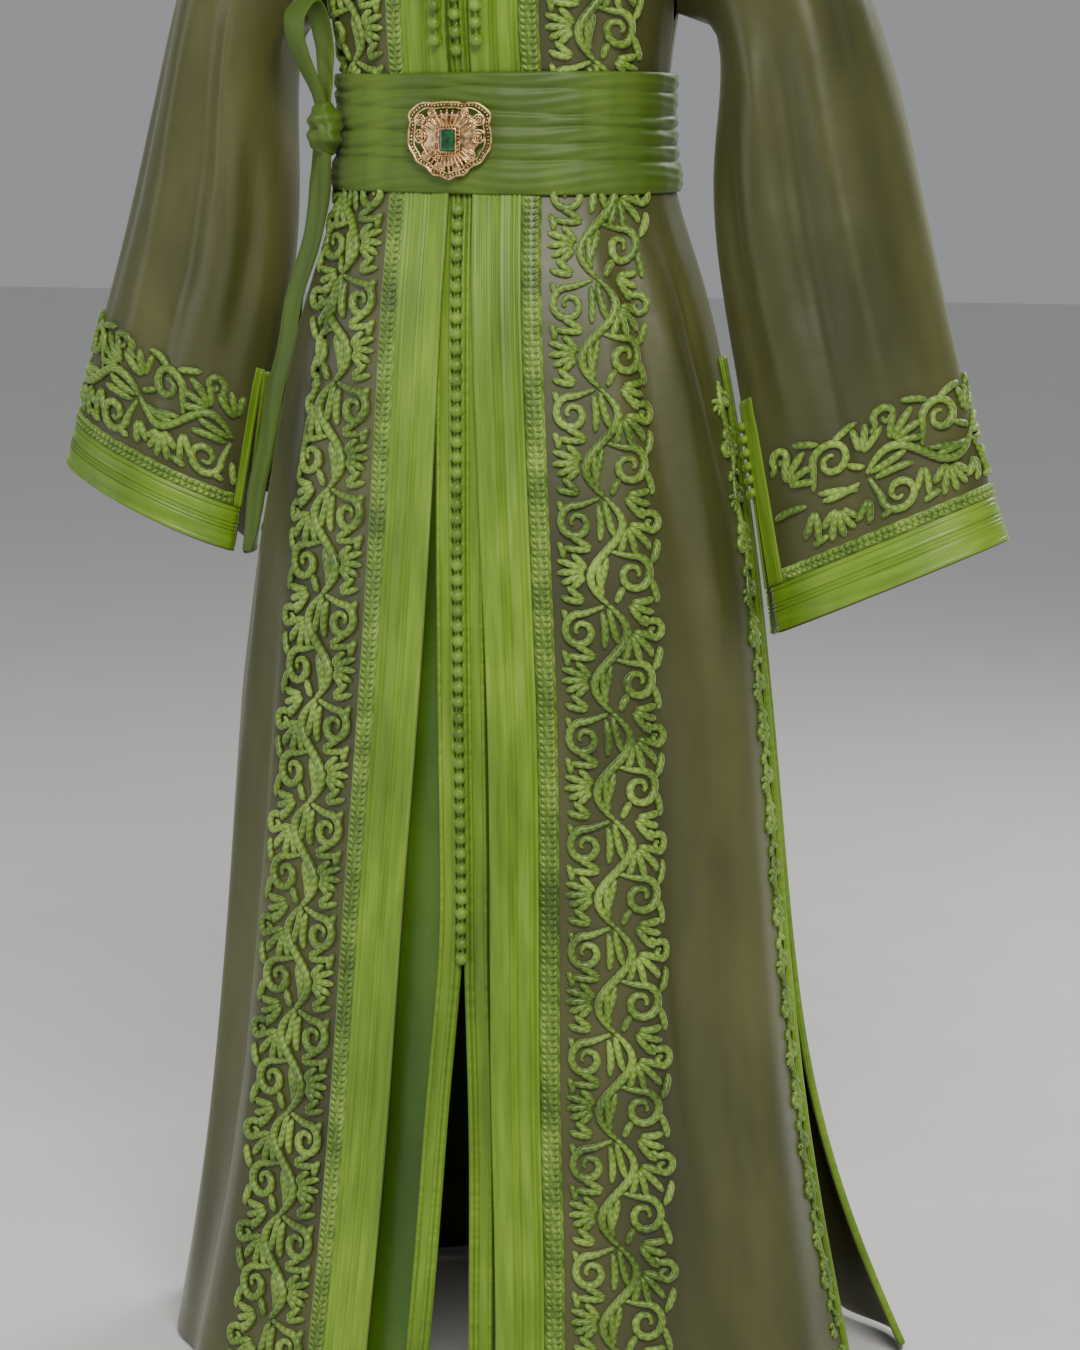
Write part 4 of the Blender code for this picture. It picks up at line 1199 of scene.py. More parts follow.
ROBE_CREASES: dict[str, tuple[Crease, ...]] = {
    "front_left": (
        Crease(((50, 1.045), (53, 0.90), (55, 0.70)), 0.013, 0.0055),
        Crease(((58, 1.055), (62, 0.93), (66, 0.76)), 0.009, -0.0070),
        Crease(((66, 1.055), (71, 0.90), (74, 0.62)), 0.013, 0.0075),
        Crease(((75, 1.050), (79, 0.95), (83, 0.80)), 0.009, -0.0055),
        Crease(((59, 0.72), (60, 0.46), (63, 0.12)), 0.013, -0.0085),
        Crease(((67, 0.74), (67, 0.40), (69, 0.02)), 0.016, 0.0090),
        Crease(((75, 0.66), (75, 0.38), (76, 0.03)), 0.013, -0.0060),
        Crease(((51, 0.56), (52, 0.28), (53, 0.02)), 0.016, 0.0060),
        Crease(((60, 1.02), (68, 0.98), (76, 0.93)), 0.010, -0.0030),
        Crease(((52, 1.175), (56, 1.25), (60, 1.34)), 0.009, -0.0050),
        Crease(((60, 1.175), (63, 1.24), (66, 1.31)), 0.009, 0.0050),
        Crease(((44, 1.175), (46, 1.24), (46, 1.32)), 0.009, 0.0040),
    ),
    "front_right": (
        Crease(((-48, 1.045), (-51, 0.90), (-53, 0.70)), 0.012, 0.0055),
        Crease(((-56, 1.055), (-59, 0.92), (-61, 0.74)), 0.009, -0.0065),
        Crease(((-66, 1.055), (-71, 0.88), (-73, 0.60)), 0.013, 0.0070),
        Crease(((-78, 1.050), (-81, 0.93), (-83, 0.82)), 0.009, -0.0050),
        Crease(((-62, 0.74), (-63, 0.46), (-64, 0.05)), 0.014, -0.0075),
        Crease(((-72, 0.66), (-73, 0.38), (-74, 0.02)), 0.017, 0.0085),
        Crease(((-81, 0.60), (-82, 0.34), (-83, 0.03)), 0.012, -0.0055),
        Crease(((-52, 0.52), (-53, 0.26), (-54, 0.02)), 0.014, 0.0050),
        Crease(((-50, 1.175), (-54, 1.25), (-58, 1.33)), 0.009, -0.0050),
        Crease(((-60, 1.175), (-62, 1.24), (-66, 1.31)), 0.009, 0.0050),
    ),
    "back": (
        Crease(((100, 1.045), (103, 0.88), (105, 0.60)), 0.010, -0.0045),
        Crease(((119, 1.045), (120, 0.84), (121, 0.50)), 0.011, 0.0050),
        Crease(((136, 1.045), (136, 0.90), (136, 0.66)), 0.009, -0.0045),
        Crease(((150, 1.045), (150, 0.80), (150, 0.45)), 0.011, 0.0050),
        Crease(((164, 1.045), (164, 0.88), (165, 0.62)), 0.009, -0.0045),
        Crease(((179, 1.045), (180, 0.82), (181, 0.48)), 0.011, 0.0050),
        Crease(((194, 1.045), (194, 0.90), (194, 0.64)), 0.009, -0.0045),
        Crease(((209, 1.045), (210, 0.84), (210, 0.52)), 0.011, 0.0050),
        Crease(((225, 1.045), (225, 0.90), (224, 0.66)), 0.009, -0.0045),
        Crease(((242, 1.045), (241, 0.84), (240, 0.52)), 0.011, 0.0050),
        Crease(((258, 1.045), (256, 0.90), (255, 0.68)), 0.009, -0.0045),
        Crease(((120, 0.55), (119, 0.30), (118, 0.03)), 0.015, -0.0060),
        Crease(((150, 0.50), (150, 0.25), (150, 0.03)), 0.015, 0.0060),
        Crease(((180, 0.52), (180, 0.27), (180, 0.03)), 0.015, -0.0060),
        Crease(((211, 0.50), (211, 0.25), (212, 0.03)), 0.015, 0.0060),
        Crease(((241, 0.52), (242, 0.27), (243, 0.03)), 0.015, -0.0060),
        Crease(((150, 1.19), (148, 1.26), (145, 1.36)), 0.012, 0.0040),
        Crease(((210, 1.19), (212, 1.26), (215, 1.36)), 0.012, 0.0040),
        Crease(((170, 1.19), (170, 1.25), (168, 1.31)), 0.010, -0.0035),
        Crease(((192, 1.19), (192, 1.25), (194, 1.31)), 0.010, -0.0035),
    ),
}

# Rings of the sleeves: outer and inner point (x, height) and half depth, from the armhole to the cuff
SLEEVE_RINGS: dict[Side, np.ndarray] = {
    Side.LEFT: np.array([
        (0.262, 1.385, 0.203, 1.205, 0.076),
        (0.318, 1.275, 0.200, 1.145, 0.073),
        (0.356, 1.160, 0.190, 1.080, 0.069),
        (0.385, 1.035, 0.197, 0.995, 0.065),
        (0.412, 0.925, 0.219, 0.885, 0.062),
        (0.433, 0.848, 0.234, 0.790, 0.060),
        (0.449, 0.800, 0.244, 0.722, 0.059),
        (0.460, 0.770, 0.250, 0.678, 0.059),
    ]),
    Side.RIGHT: np.array([
        (0.252, 1.390, 0.203, 1.205, 0.076),
        (0.300, 1.285, 0.206, 1.145, 0.073),
        (0.333, 1.160, 0.200, 1.080, 0.069),
        (0.365, 1.035, 0.202, 1.000, 0.065),
        (0.394, 0.945, 0.221, 0.905, 0.062),
        (0.411, 0.880, 0.234, 0.826, 0.060),
        (0.423, 0.842, 0.242, 0.768, 0.059),
        (0.431, 0.815, 0.247, 0.732, 0.059),
    ]),
}
SLEEVE_SLIT_ANGLE = 20.0


class SleeveRings:
    """Finds places on a sleeve by ring (0 at the top) and angle (0 inner, 90 front, 180 outer)."""

    def __init__(self, side: Side, surface: Surface) -> None:
        """Keeps the sleeve.

        Args:
            side: Which sleeve.
            surface: Its cloth.
        """
        self.side = side
        self.rings = SLEEVE_RINGS[side]
        self.surface = surface

    @property
    def last(self) -> float:
        """Returns the cuff's ring."""
        return float(len(self.rings) - 1)

    def centre(self, ring: float) -> Point:
        """Gives the middle of a ring.

        Args:
            ring: The ring.

        Returns:
            Its middle.
        """
        rows = np.arange(len(self.rings))
        measures = [float(np.interp(ring, rows, self.rings[:, k])) for k in range(4)]
        x = (measures[0] + measures[2]) / 2 * self.side.value
        return np.array([x, 0.0, (measures[1] + measures[3]) / 2 - SHOULDER_HEIGHT])

    def direction(self, ring: float, angle: float) -> Point:
        """Gives the way from a ring's middle to its cloth.

        Args:
            ring: The ring.
            angle: The angle.

        Returns:
            The direction, not scaled.
        """
        rows = np.arange(len(self.rings))
        measures = [float(np.interp(ring, rows, self.rings[:, k])) for k in range(5)]
        outer_x, outer_h, inner_x, inner_h, depth = measures
        turn = math.radians(angle)
        half = np.array([(outer_x - inner_x) / 2 * self.side.value, 0.0, (outer_h - inner_h) / 2])
        return -half * math.cos(turn) + np.array([0.0, -depth * math.sin(turn), 0.0])

    def at(self, angle: float, ring: float) -> Optional[Point]:
        """Looks in from outside.

        Args:
            angle: The angle.
            ring: The ring.

        Returns:
            The point of the cloth there, if any.
        """
        middle = self.centre(ring)
        way = self.direction(ring, angle)
        return self.surface.hit(middle + way * 2.2, -unit(way), float(np.linalg.norm(way)) * 2.0)

    def outward(self, points: np.ndarray) -> np.ndarray:
        """Gives a rough outward direction at points of the sleeve.

        Args:
            points: The points.

        Returns:
            The directions.
        """
        flat = points.reshape(-1, 3)
        middles = np.array([self.centre(ring) for ring in np.linspace(0, self.last, 60)])
        gaps = np.linalg.norm(flat[:, None, [0, 2]] - middles[None, :, [0, 2]], axis=2)
        closest = middles[gaps.argmin(axis=1)]
        return unit(flat - closest).reshape(points.shape)

    def slit_edge(self, ring: float, start: float, turn: float) -> float:
        """Finds the slit's edge on one ring.

        Args:
            ring: The ring.
            start: Angle of the slit's middle.
            turn: Direction of the search, 1 or -1.

        Returns:
            Angle of the first cloth there.
        """
        angle = start
        while self.at(angle, ring) is None and abs(angle - start) < 60.0:
            angle += turn
        outside = angle - turn
        for _ in range(6):
            middle = (outside + angle) / 2
            if self.at(middle, ring) is None:
                outside = middle
            else:
                angle = middle
        return angle

    def cuff_chart(self, top_ring: float, reach: float, columns: int = 150) -> PatchChart:
        """Charts the cuff: s is the distance up from its edge, t the way round from the slit.

        Args:
            top_ring: Ring at which the chart may end.
            reach: How far up it goes.
            columns: Number of columns round the cuff.

        Returns:
            The chart.
        """
        rings = np.arange(self.last - 0.02, top_ring, -0.07)
        shares = np.linspace(0.0, 1.0, 220)
        table = np.zeros((len(shares), len(rings), 3))
        for j, ring in enumerate(rings):
            first = self.slit_edge(ring, SLEEVE_SLIT_ANGLE, 1.0)
            last = self.slit_edge(ring, SLEEVE_SLIT_ANGLE + 360.0, -1.0)
            known = None
            for i, share in enumerate(shares):
                point = self.at(first + (last - first) * share, ring)
                known = point if point is not None else known
                table[i, j] = known
        heights = np.arange(0.0, reach, 0.003)
        grid = np.zeros((len(shares), len(heights), 3))
        for i, line in enumerate(table):
            lengths = np.concatenate(([0.0], np.cumsum(np.linalg.norm(np.diff(line, axis=0), axis=1))))
            for k in range(3):
                grid[i, :, k] = np.interp(heights, lengths, line[:, k])
        middle = grid[:, len(heights) // 2]
        round_it = np.concatenate(([0.0], np.cumsum(np.linalg.norm(np.diff(middle, axis=0), axis=1))))
        even = np.linspace(0.0, round_it[-1], columns + 1)
        patch = np.zeros((columns + 1, len(heights), 3))
        for j in range(len(heights)):
            for k in range(3):
                patch[:, j, k] = np.interp(even, round_it, grid[:, j, k])
        return PatchChart(patch, 0.003, 0.0, float(even[1]), self.outward)


# One repeat of the narrow side embroidery, in the same measures
SIDE_MOTIF: list[Stroke] = [
    (2.0, stem(14.0, 5.0, 84.0)),
    (1.8, scroll((13.0, 4.0), (6.5, 17.0), 6.0, -75.0, -470.0)),
    (1.8, scroll((15.0, 46.0), (21.5, 60.0), 6.5, -105.0, 470.0)),
    *fan(1.7, (18.0, 18.0), (25.0, 60.0, -10.0), 9.0, 20.0),
    *fan(1.7, (10.0, 62.0), (205.0, 165.0, 240.0), 9.0, -20.0),
    *fan(1.7, (14.0, 38.0), (140.0, 50.0), 11.0, 15.0),
    *fan(1.7, (15.0, 76.0), (45.0, 150.0), 10.0, 20.0),
]


def sew_silk(builder: MeshBuilder, wardrobe: Wardrobe, node: str) -> bpy.types.Object:
    """Ends a silk trim.

    Args:
        builder: Holds its faces.
        wardrobe: The materials.
        node: Its CAD node.

    Returns:
        The piece.
    """
    return enter(builder.build(f"{node}_silk", wardrobe.silk), [node])


def sew_cord(builder: MeshBuilder, wardrobe: Wardrobe, node: str) -> bpy.types.Object:
    """Ends a piece of cord work.

    Args:
        builder: Holds its faces.
        wardrobe: The materials.
        node: Its CAD node.

    Returns:
        The piece.
    """
    return enter(builder.build(f"{node}_cord", wardrobe.cord), [node])


@dataclass
class SideTrims:
    """Trim and narrow embroidery along one side slit, and the back's trim beside it."""

    wardrobe: Wardrobe
    side: Side
    front: PatchChart
    back: PatchChart

    def sew(self) -> list[bpy.types.Object]:
        """Makes the trims.

        Returns:
            The pieces.
        """
        name = self.side.label
        top = self.front.t_end - 0.002
        pieces = []
        for label, chart in (("side_trim", self.front), ("back_side_trim", self.back)):
            trim = MeshBuilder()
            Strip(label, chart, 0.0002, 0.008, 0.006, top, plain_relief(0.0014), 6).add_to(trim)
            line = np.array([(0.004, 0.006), (0.004, top / 2), (0.004, top)])
            CordWork(chart, trim).stroke(line, 0.0022, 1.0)
            pieces.append(sew_silk(trim, self.wardrobe, f"{label}_{name}"))
        cords = MeshBuilder()
        work = CordWork(self.front, cords)
        start = top - 0.02
        while start > 0.0:
            for half_width, places in SIDE_MOTIF:
                table = np.array(places, float) / 1000.0
                s = 0.0095 + table[:, 0]
                t = start - table[:, 1]
                if t.min() > 0.006 and t.max() < top:
                    work.stroke(np.column_stack((s, t)), half_width / 1000.0)
            start -= 0.084
        pieces.append(sew_cord(cords, self.wardrobe, f"side_embroidery_{name}"))
        return pieces


def knotted_bead() -> tuple[np.ndarray, list[tuple[int, ...]]]:
    """Models one knotted button of radius one.

    Returns:
        Its vertices and faces.
    """
    bpy.ops.object.select_all(action="DESELECT")
    bpy.ops.mesh.primitive_uv_sphere_add(segments=16, ring_count=10, radius=1.0, location=(0.0, 0.0, 0.0))
    item = bpy.context.active_object
    places = np.array([vertex.co for vertex in item.data.vertices])
    around = np.arctan2(places[:, 1], places[:, 0])
    down = np.arccos(np.clip(places[:, 2], -1.0, 1.0))
    wrap = np.cos(4.0 * around + 5.0 * down) * np.sin(down)
    # The primitive's order changes from run to run, so the bead is put in an order of its own
    order = np.lexsort(np.round(places, 5).T)
    rank = np.argsort(order)
    places *= (0.96 + 0.055 * wrap)[:, None]
    faces = [tuple(int(rank[corner]) for corner in face.vertices) for face in item.data.polygons]
    bpy.data.objects.remove(item)
    return places[order], sorted(faces, key=sorted)


@dataclass
class Buttons:
    """The columns of knotted buttons."""

    wardrobe: Wardrobe
    radius: float = 0.0056

    def add_beads(self, builder: MeshBuilder, centres: np.ndarray, normals: np.ndarray) -> None:
        """Adds a row of knotted beads to a piece.

        Args:
            builder: Takes their faces.
            centres: Places on the cloth under them.
            normals: Normals there.
        """
        bead, faces = knotted_bead()
        for index, (centre, normal) in enumerate(zip(centres, normals)):
            across = unit(np.cross(np.array([0.0, 0.0, 1.0]), normal))
            up = np.cross(normal, across)
            turn = 0.9 * index
            side = across * math.cos(turn) + up * math.sin(turn)
            frame_of_bead = np.column_stack((side, np.cross(side, normal), normal))
            points = centre + normal * self.radius + (bead * self.radius) @ frame_of_bead.T
            start = builder.add(points, bead[:, :2] * 0.02)
            builder.faces.extend(tuple(start + corner for corner in face) for face in faces)

    def column(self, name: str, centres: np.ndarray, normals: np.ndarray) -> bpy.types.Object:
        """Makes one column.

        Args:
            name: Name of its CAD node.
            centres: Places on the cloth under its buttons.
            normals: Normals there.

        Returns:
            The piece.
        """
        builder = MeshBuilder()
        self.add_beads(builder, centres, normals)
        line = smooth_line(centres + normals * self.radius * 0.35, 0.004)
        size = np.full(len(line), 0.0013)
        builder.tube(line, np.broadcast_to(normals[0], line.shape), size, size, 5, 0.0)
        return enter(builder.build(f"{name}_cord", self.wardrobe.bead), [name])


@dataclass
class Sash:
    """The pleated sash with its knot, loop and tails."""

    wardrobe: Wardrobe
    bottom: float = 1.067
    top: float = 1.171
    # Share of the sash's height of each pleat line, at angles from the front
    lines: tuple[tuple[float, ...], ...] = (
        (0.00, 0.00, 0.00, 0.00, 0.00, 0.00, 0.00),
        (0.27, 0.29, 0.30, 0.28, 0.27, 0.28, 0.27),
        (0.42, 0.38, 0.37, 0.40, 0.41, 0.40, 0.42),
        (0.52, 0.55, 0.52, 0.54, 0.55, 0.53, 0.52),
        (0.70, 0.72, 0.73, 0.68, 0.62, 0.68, 0.70),
        (0.86, 0.88, 0.85, 0.88, 0.84, 0.86, 0.86),
        (1.00, 1.00, 1.00, 1.00, 1.00, 1.00, 1.00),
    )
    rises: tuple[float, ...] = (0.0046, 0.0034, 0.0042, 0.0040, 0.0030, 0.0030)

    def base_radius(self, surface: Surface, angle: float) -> np.ndarray:
        """Measures the CAD sash at one angle.

        Args:
            surface: The CAD sash.
            angle: The angle.

        Returns:
            Its level reach at the bottom, the middle and the top.
        """
        reaches = []
        for height in (self.bottom + 0.003, (self.bottom + self.top) / 2, self.top - 0.003):
            point = surface.around(angle, height)
            reaches.append(float(np.linalg.norm(point[:2])) if point is not None else 0.15)
        return np.array(reaches)

    def wrap(self) -> bpy.types.Object:
        """Makes the pleated band round the waist.

        Returns:
            The piece.
        """
        surface = Surface([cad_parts["belt_wrap"]])
        angles = np.arange(-180.0, 180.0, 2.0)
        shares = np.linspace(0.0, 1.0, 80)
        knots = np.linspace(-180.0, 180.0, 7)
        outer = []
        for angle in angles:
            reaches = self.base_radius(surface, angle)
            base = np.interp(shares, (0.0, 0.5, 1.0), reaches) - 0.0030
            marks = np.array([np.interp(angle, knots, line) for line in self.lines])
            turn = math.radians(angle)
            marks[1:-1] += 0.010 * math.sin(turn * 3.0) + 0.006 * math.sin(turn * 7.0 + 1.0)
            rise = np.zeros_like(shares)
            for low, high, size in zip(marks, marks[1:], self.rises):
                inside = (shares >= low) & (shares <= high)
                u = (shares[inside] - low) / (high - low)
                rise[inside] = size * np.sqrt(np.clip(1 - (2 * u - 1) ** 2, 0, 1)) * (0.75 + 0.25 * u)
            fine = 0.0004 * np.sin(shares * 75.0 + 4.0 * math.sin(turn * 4.0))
            radius = base + rise + fine
            tilt = 0.002 * math.sin(turn * 2.0)
            heights = self.bottom + (self.top - self.bottom) * shares + tilt * (shares - 0.5)
            heights -= SHOULDER_HEIGHT
            outer.append(np.column_stack((radius * math.sin(turn), -radius * math.cos(turn), heights)))
        table = np.array(outer + outer[:1])
        level = level_outward(table)
        girth = np.concatenate(([0.0], np.cumsum(np.linalg.norm(np.diff(table[:, 40], axis=0), axis=1))))
        uvs = np.stack(np.broadcast_arrays(girth[:, None], (shares * 0.105)[None, :]), axis=-1)
        builder = MeshBuilder()
        builder.slab(table, table - level * 0.0012, uvs)
        item = builder.build("belt_wrap_silk", self.wardrobe.sash)
        return enter(item, ["belt_wrap"])

    def ribbon(self, node: str, creases: int, widen: float, reach: tuple[float, float],
               twist: float) -> bpy.types.Object:
        """Makes one folded ribbon on its CAD form.

        Args:
            node: Its CAD node.
            creases: Number of soft folds that run with it.
            widen: Scale of its width.
            reach: How far its lower and upper ends are drawn on, into the knot.
            twist: Degrees by which it is turned about its foot.

        Returns:
            The piece.
        """
        item = copy_cloth(node, f"{node}_silk", 2)
        places = np.array([vertex.co for vertex in item.data.vertices])
        low = places.min(axis=0)
        high = places.max(axis=0)
        share = (places[:, 2] - low[2]) / max(1e-6, high[2] - low[2])
        centre_x = np.interp(share, np.linspace(0, 1, 12), [
            float(places[np.abs(share - step) < 0.09, 0].mean()) for step in np.linspace(0, 1, 12)])
        wave = np.sin((places[:, 0] - centre_x) * creases * 260.0 + share * 9.0)
        if widen != 1.0:
            spread = np.interp(share, (0.0, 0.12, 0.9, 1.0), (1.0, widen, widen, 1.0))
            places[:, 0] = centre_x + (places[:, 0] - centre_x) * spread
        lower = np.clip((0.16 - share) / 0.16, 0, 1) ** 2
        upper = np.clip((share - 0.84) / 0.16, 0, 1) ** 2
        places[:, 2] += upper * reach[1] - lower * reach[0]
        if node == "belt_knot":
            middle = places.mean(axis=0)
            places = middle + (places - middle) * np.array([1.40, 1.45, 1.25])
            around = np.arctan2(places[:, 0] - middle[0], places[:, 2] - middle[2])
            places[:, 1] -= 0.0022 * np.cos(around * 3.0 + 0.5)
        if twist:
            seat = places[share < 0.12].mean(axis=0)
            angle = math.radians(twist)
            along = places[:, 0] - seat[0]
            deep = places[:, 1] - seat[1]
            places[:, 0] = seat[0] + along * math.cos(angle) - deep * math.sin(angle)
            places[:, 1] = seat[1] + along * math.sin(angle) + deep * math.cos(angle)
        places[:, 1] += wave * 0.0011
        if not twist:
            places[:, 0] += np.sin(share * 26.0 + 0.6) * 0.0012
        item.data.vertices.foreach_set("co", places.ravel())
        item.data.update()
        item.data.materials.append(self.wardrobe.sash)
        return enter(item, [node])

    def tie(self) -> list[bpy.types.Object]:
        """Makes the whole sash.

        Returns:
            The pieces.
        """
        pieces = [self.wrap()]
        for node, creases, widen, reach, twist in (
            ("belt_knot", 3, 1.0, (0.0, 0.0), 0.0),
            ("belt_loop", 2, 1.0, (0.012, 0.0), 30.0),
            ("belt_tail_front", 2, 1.45, (0.0, 0.012), 0.0),
            ("belt_tail_back", 2, 1.45, (0.0, 0.014), 0.0),
        ):
            pieces.append(self.ribbon(node, creases, widen, reach, twist))
        return pieces


class PlateChart:
    """The clasp's gently domed face, by distance across (s) and up (t) from its middle."""

    def __init__(self, middle: Point, reach: float, dome: float) -> None:
        """Keeps the face.

        Args:
            middle: Its middle.
            reach: Radius of the sash under it.
            dome: How far its middle stands above its rim.
        """
        self.middle = middle
        self.reach = reach
        self.dome = dome

    def at(self, s: np.ndarray, t: np.ndarray) -> tuple[np.ndarray, np.ndarray]:
        """Finds places on the face.

        Args:
            s: Distances across.
            t: Distances up.

        Returns:
            Their points and normals.
        """
        s = np.asarray(s, float)
        t = np.asarray(t, float)
        turn = s / self.reach
        rise = self.dome * np.clip(1 - (s ** 2 + t ** 2) / 0.036 ** 2, 0, 1)
        points = np.stack((
            self.middle[0] + np.sin(turn) * (self.reach + rise),
            self.middle[1] + self.reach - np.cos(turn) * (self.reach + rise),
            self.middle[2] + t,
        ), axis=-1)
        normals = unit(np.stack((np.sin(turn) + s * 1.6, -np.cos(turn), t * 1.6), axis=-1))
        return points, normals


@dataclass
class GoldWork:
    """The parts of the clasp's filigree, laid on its face."""

    chart: PlateChart
    builder: MeshBuilder = field(default_factory=MeshBuilder)

    def plate(self, closed: np.ndarray) -> None:
        """Adds the pierced plate as a thin slab.

        Args:
            closed: Its outline, with its first place again at the end.
        """
        shares = np.array([0.72, 0.6, 0.45, 0.3, 0.02])
        grid = closed[:, None, :] * shares[None, :, None]
        points, normals = self.chart.at(grid[..., 0], grid[..., 1])
        self.builder.slab(points - normals * 0.0006, points - normals * 0.0020, grid)

    def wire(self, path: np.ndarray, size: float) -> None:
        """Adds one wire.

        Args:
            path: Its places.
            size: Its radius.
        """
        line = smooth_line(path, 0.0016)
        points, normals = self.chart.at(line[:, 0], line[:, 1])
        sizes = np.full(len(line), size)
        self.builder.tube(points, normals, sizes, sizes, 6, 0.2)

    def ball(self, s: float, t: float, size: float) -> None:
        """Adds one bead.

        Args:
            s: Its place across.
            t: Its place up.
            size: Its radius.
        """
        point, normal = self.chart.at(np.array([s]), np.array([t]))
        steps = np.linspace(-0.98, 0.98, 5)
        centres = point[0] + normal[0] * (steps[:, None] * size + size * 0.4)
        sizes = size * np.sqrt(1 - steps ** 2)
        helper = np.broadcast_to(np.array([0.0, 0.0, 1.0]), centres.shape)
        self.builder.tube(centres, helper, sizes, sizes, 8, 1.0)

    def rays(self) -> None:
        """Adds the fan of rays above and below the stone."""
        for degrees in list(range(-62, 63, 12)) + list(range(118, 243, 10)):
            turn = math.radians(degrees)
            way = np.array([math.sin(turn), math.cos(turn)])
            above = abs(degrees) < 90
            inner, outer = (0.0125, 0.0245) if above else (0.0130, 0.0255)
            line = smooth_line([way * inner, way * (inner + outer) / 2, way * outer], 0.0018)
            points, normals = self.chart.at(line[:, 0], line[:, 1])
            sizes = 0.0011 * (0.45 + 0.75 * np.linspace(0, 1, len(line)))
            self.builder.tube(points, normals, sizes, sizes * 0.9, 6, 0.1)
            self.ball(*(way * (outer + 0.0012)), 0.0011)

    def rosettes(self) -> None:
        """Adds the open rosettes at the sides and the curls beside the point."""
        for sign in (-1.0, 1.0):
            for s, t, size in ((0.0265, 0.0035, 0.0056), (0.0265, 0.0175, 0.0046), (0.0150, 0.0235, 0.0032),
                               (0.0195, -0.0125, 0.0042), (0.0080, -0.0235, 0.0030)):
                for share, thick in ((1.0, 0.0008), (0.52, 0.0006)):
                    turns = np.linspace(0, 2 * math.pi, 13)
                    ring = np.column_stack((sign * s + size * share * np.cos(turns),
                                            t + size * share * np.sin(turns)))
                    self.wire(ring, thick)
                self.ball(sign * s, t, size * 0.27)
                for turn in np.arange(8) * math.pi / 4:
                    self.ball(sign * s + size * 0.77 * math.cos(turn),
                              t + size * 0.77 * math.sin(turn), size * 0.13)

    def setting(self) -> None:
        """Adds the frame and beads round the stone."""
        corners = np.array([(-1, -1), (1, -1), (1, 1), (-1, 1), (-1, -1)], float)
        for width, tall, size in ((0.0074, 0.0098, 0.0010), (0.0108, 0.0128, 0.0007)):
            runs = [np.linspace(a, b, 7)[:-1] for a, b in zip(corners, corners[1:])]
            line = np.vstack([*runs, corners[-1:]])
            path = line * np.array([width, tall])
            points, normals = self.chart.at(path[:, 0], path[:, 1])
            sizes = np.full(len(path), size)
            self.builder.tube(points + normals * 0.0008, normals, sizes, sizes, 6, 0.0)
        ring = np.vstack([np.linspace(a, b, 8)[:-1] for a, b in zip(corners, corners[1:])])
        for s, t in ring * np.array([0.0091, 0.0113]):
            self.ball(s, t, 0.00115)


@dataclass
class Clasp:
    """The gold filigree plaque and its green stone."""

    wardrobe: Wardrobe
    centre_x: float = -0.0105
    height: float = 1.113
    # Right half of the outline, from the top middle to the point below
    outline: tuple[tuple[float, float], ...] = (
        (0.0, 0.0325), (0.007, 0.0325), (0.014, 0.0315), (0.021, 0.0322), (0.0285, 0.0300), (0.0370, 0.0225),
        (0.0360, 0.0150), (0.0375, 0.0060), (0.0372, -0.0050), (0.0325, -0.0120), (0.0290, -0.0180),
        (0.0200, -0.0225), (0.0145, -0.0285), (0.0070, -0.0300), (0.0, -0.0330),
    )

    def make(self) -> list[bpy.types.Object]:
        """Makes the plaque and the stone.

        Returns:
            The pieces.
        """
        low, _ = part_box("brooch_plate")
        middle = np.array([self.centre_x, low[1] + 0.0012, self.height - SHOULDER_HEIGHT])
        chart = PlateChart(middle, 0.16, 0.0020)
        half = np.array(self.outline)
        outline = np.vstack((half, half[-2:0:-1] * np.array([-1.0, 1.0])))
        work = GoldWork(chart)
        closed = np.vstack((outline, outline[:1]))
        work.plate(closed)
        for scale, size in ((1.0, 0.0013), (0.86, 0.0008), (0.66, 0.0007)):
            work.wire(closed * scale, size)
        for s, t in smooth_line(closed * 0.935, 0.0031):
            work.ball(s, t, 0.00115)
        work.rays()
        work.rosettes()
        work.setting()
        plaque = enter(work.builder.build("brooch_plaque_gold", self.wardrobe.gold), ["brooch_plate"])
        return [plaque, self.stone(chart)]

    def stone(self, chart: PlateChart) -> bpy.types.Object:
        """Makes the cut stone.

        Args:
            chart: The face.

        Returns:
            The piece.
        """
        point, _ = chart.at(np.array([0.0]), np.array([0.0]))
        seat = point[0]
        bpy.ops.object.select_all(action="DESELECT")
        bpy.ops.mesh.primitive_cube_add(size=1.0, location=tuple(seat + np.array([0.0, -0.0012, 0.0])))
        item = bpy.context.active_object
        item.name = "brooch_stone_glass"
        item.scale = (0.0128, 0.0046, 0.0176)
        bpy.ops.object.transform_apply(location=True, rotation=True, scale=True)
        bpy.ops.object.mode_set(mode="EDIT")
        bpy.ops.mesh.select_all(action="SELECT")
        bpy.ops.mesh.bevel(offset=0.0016, segments=2, profile=0.6)
        bpy.ops.object.mode_set(mode="OBJECT")
        item.data.materials.append(self.wardrobe.stone)
        return enter(item, ["brooch_stone"])


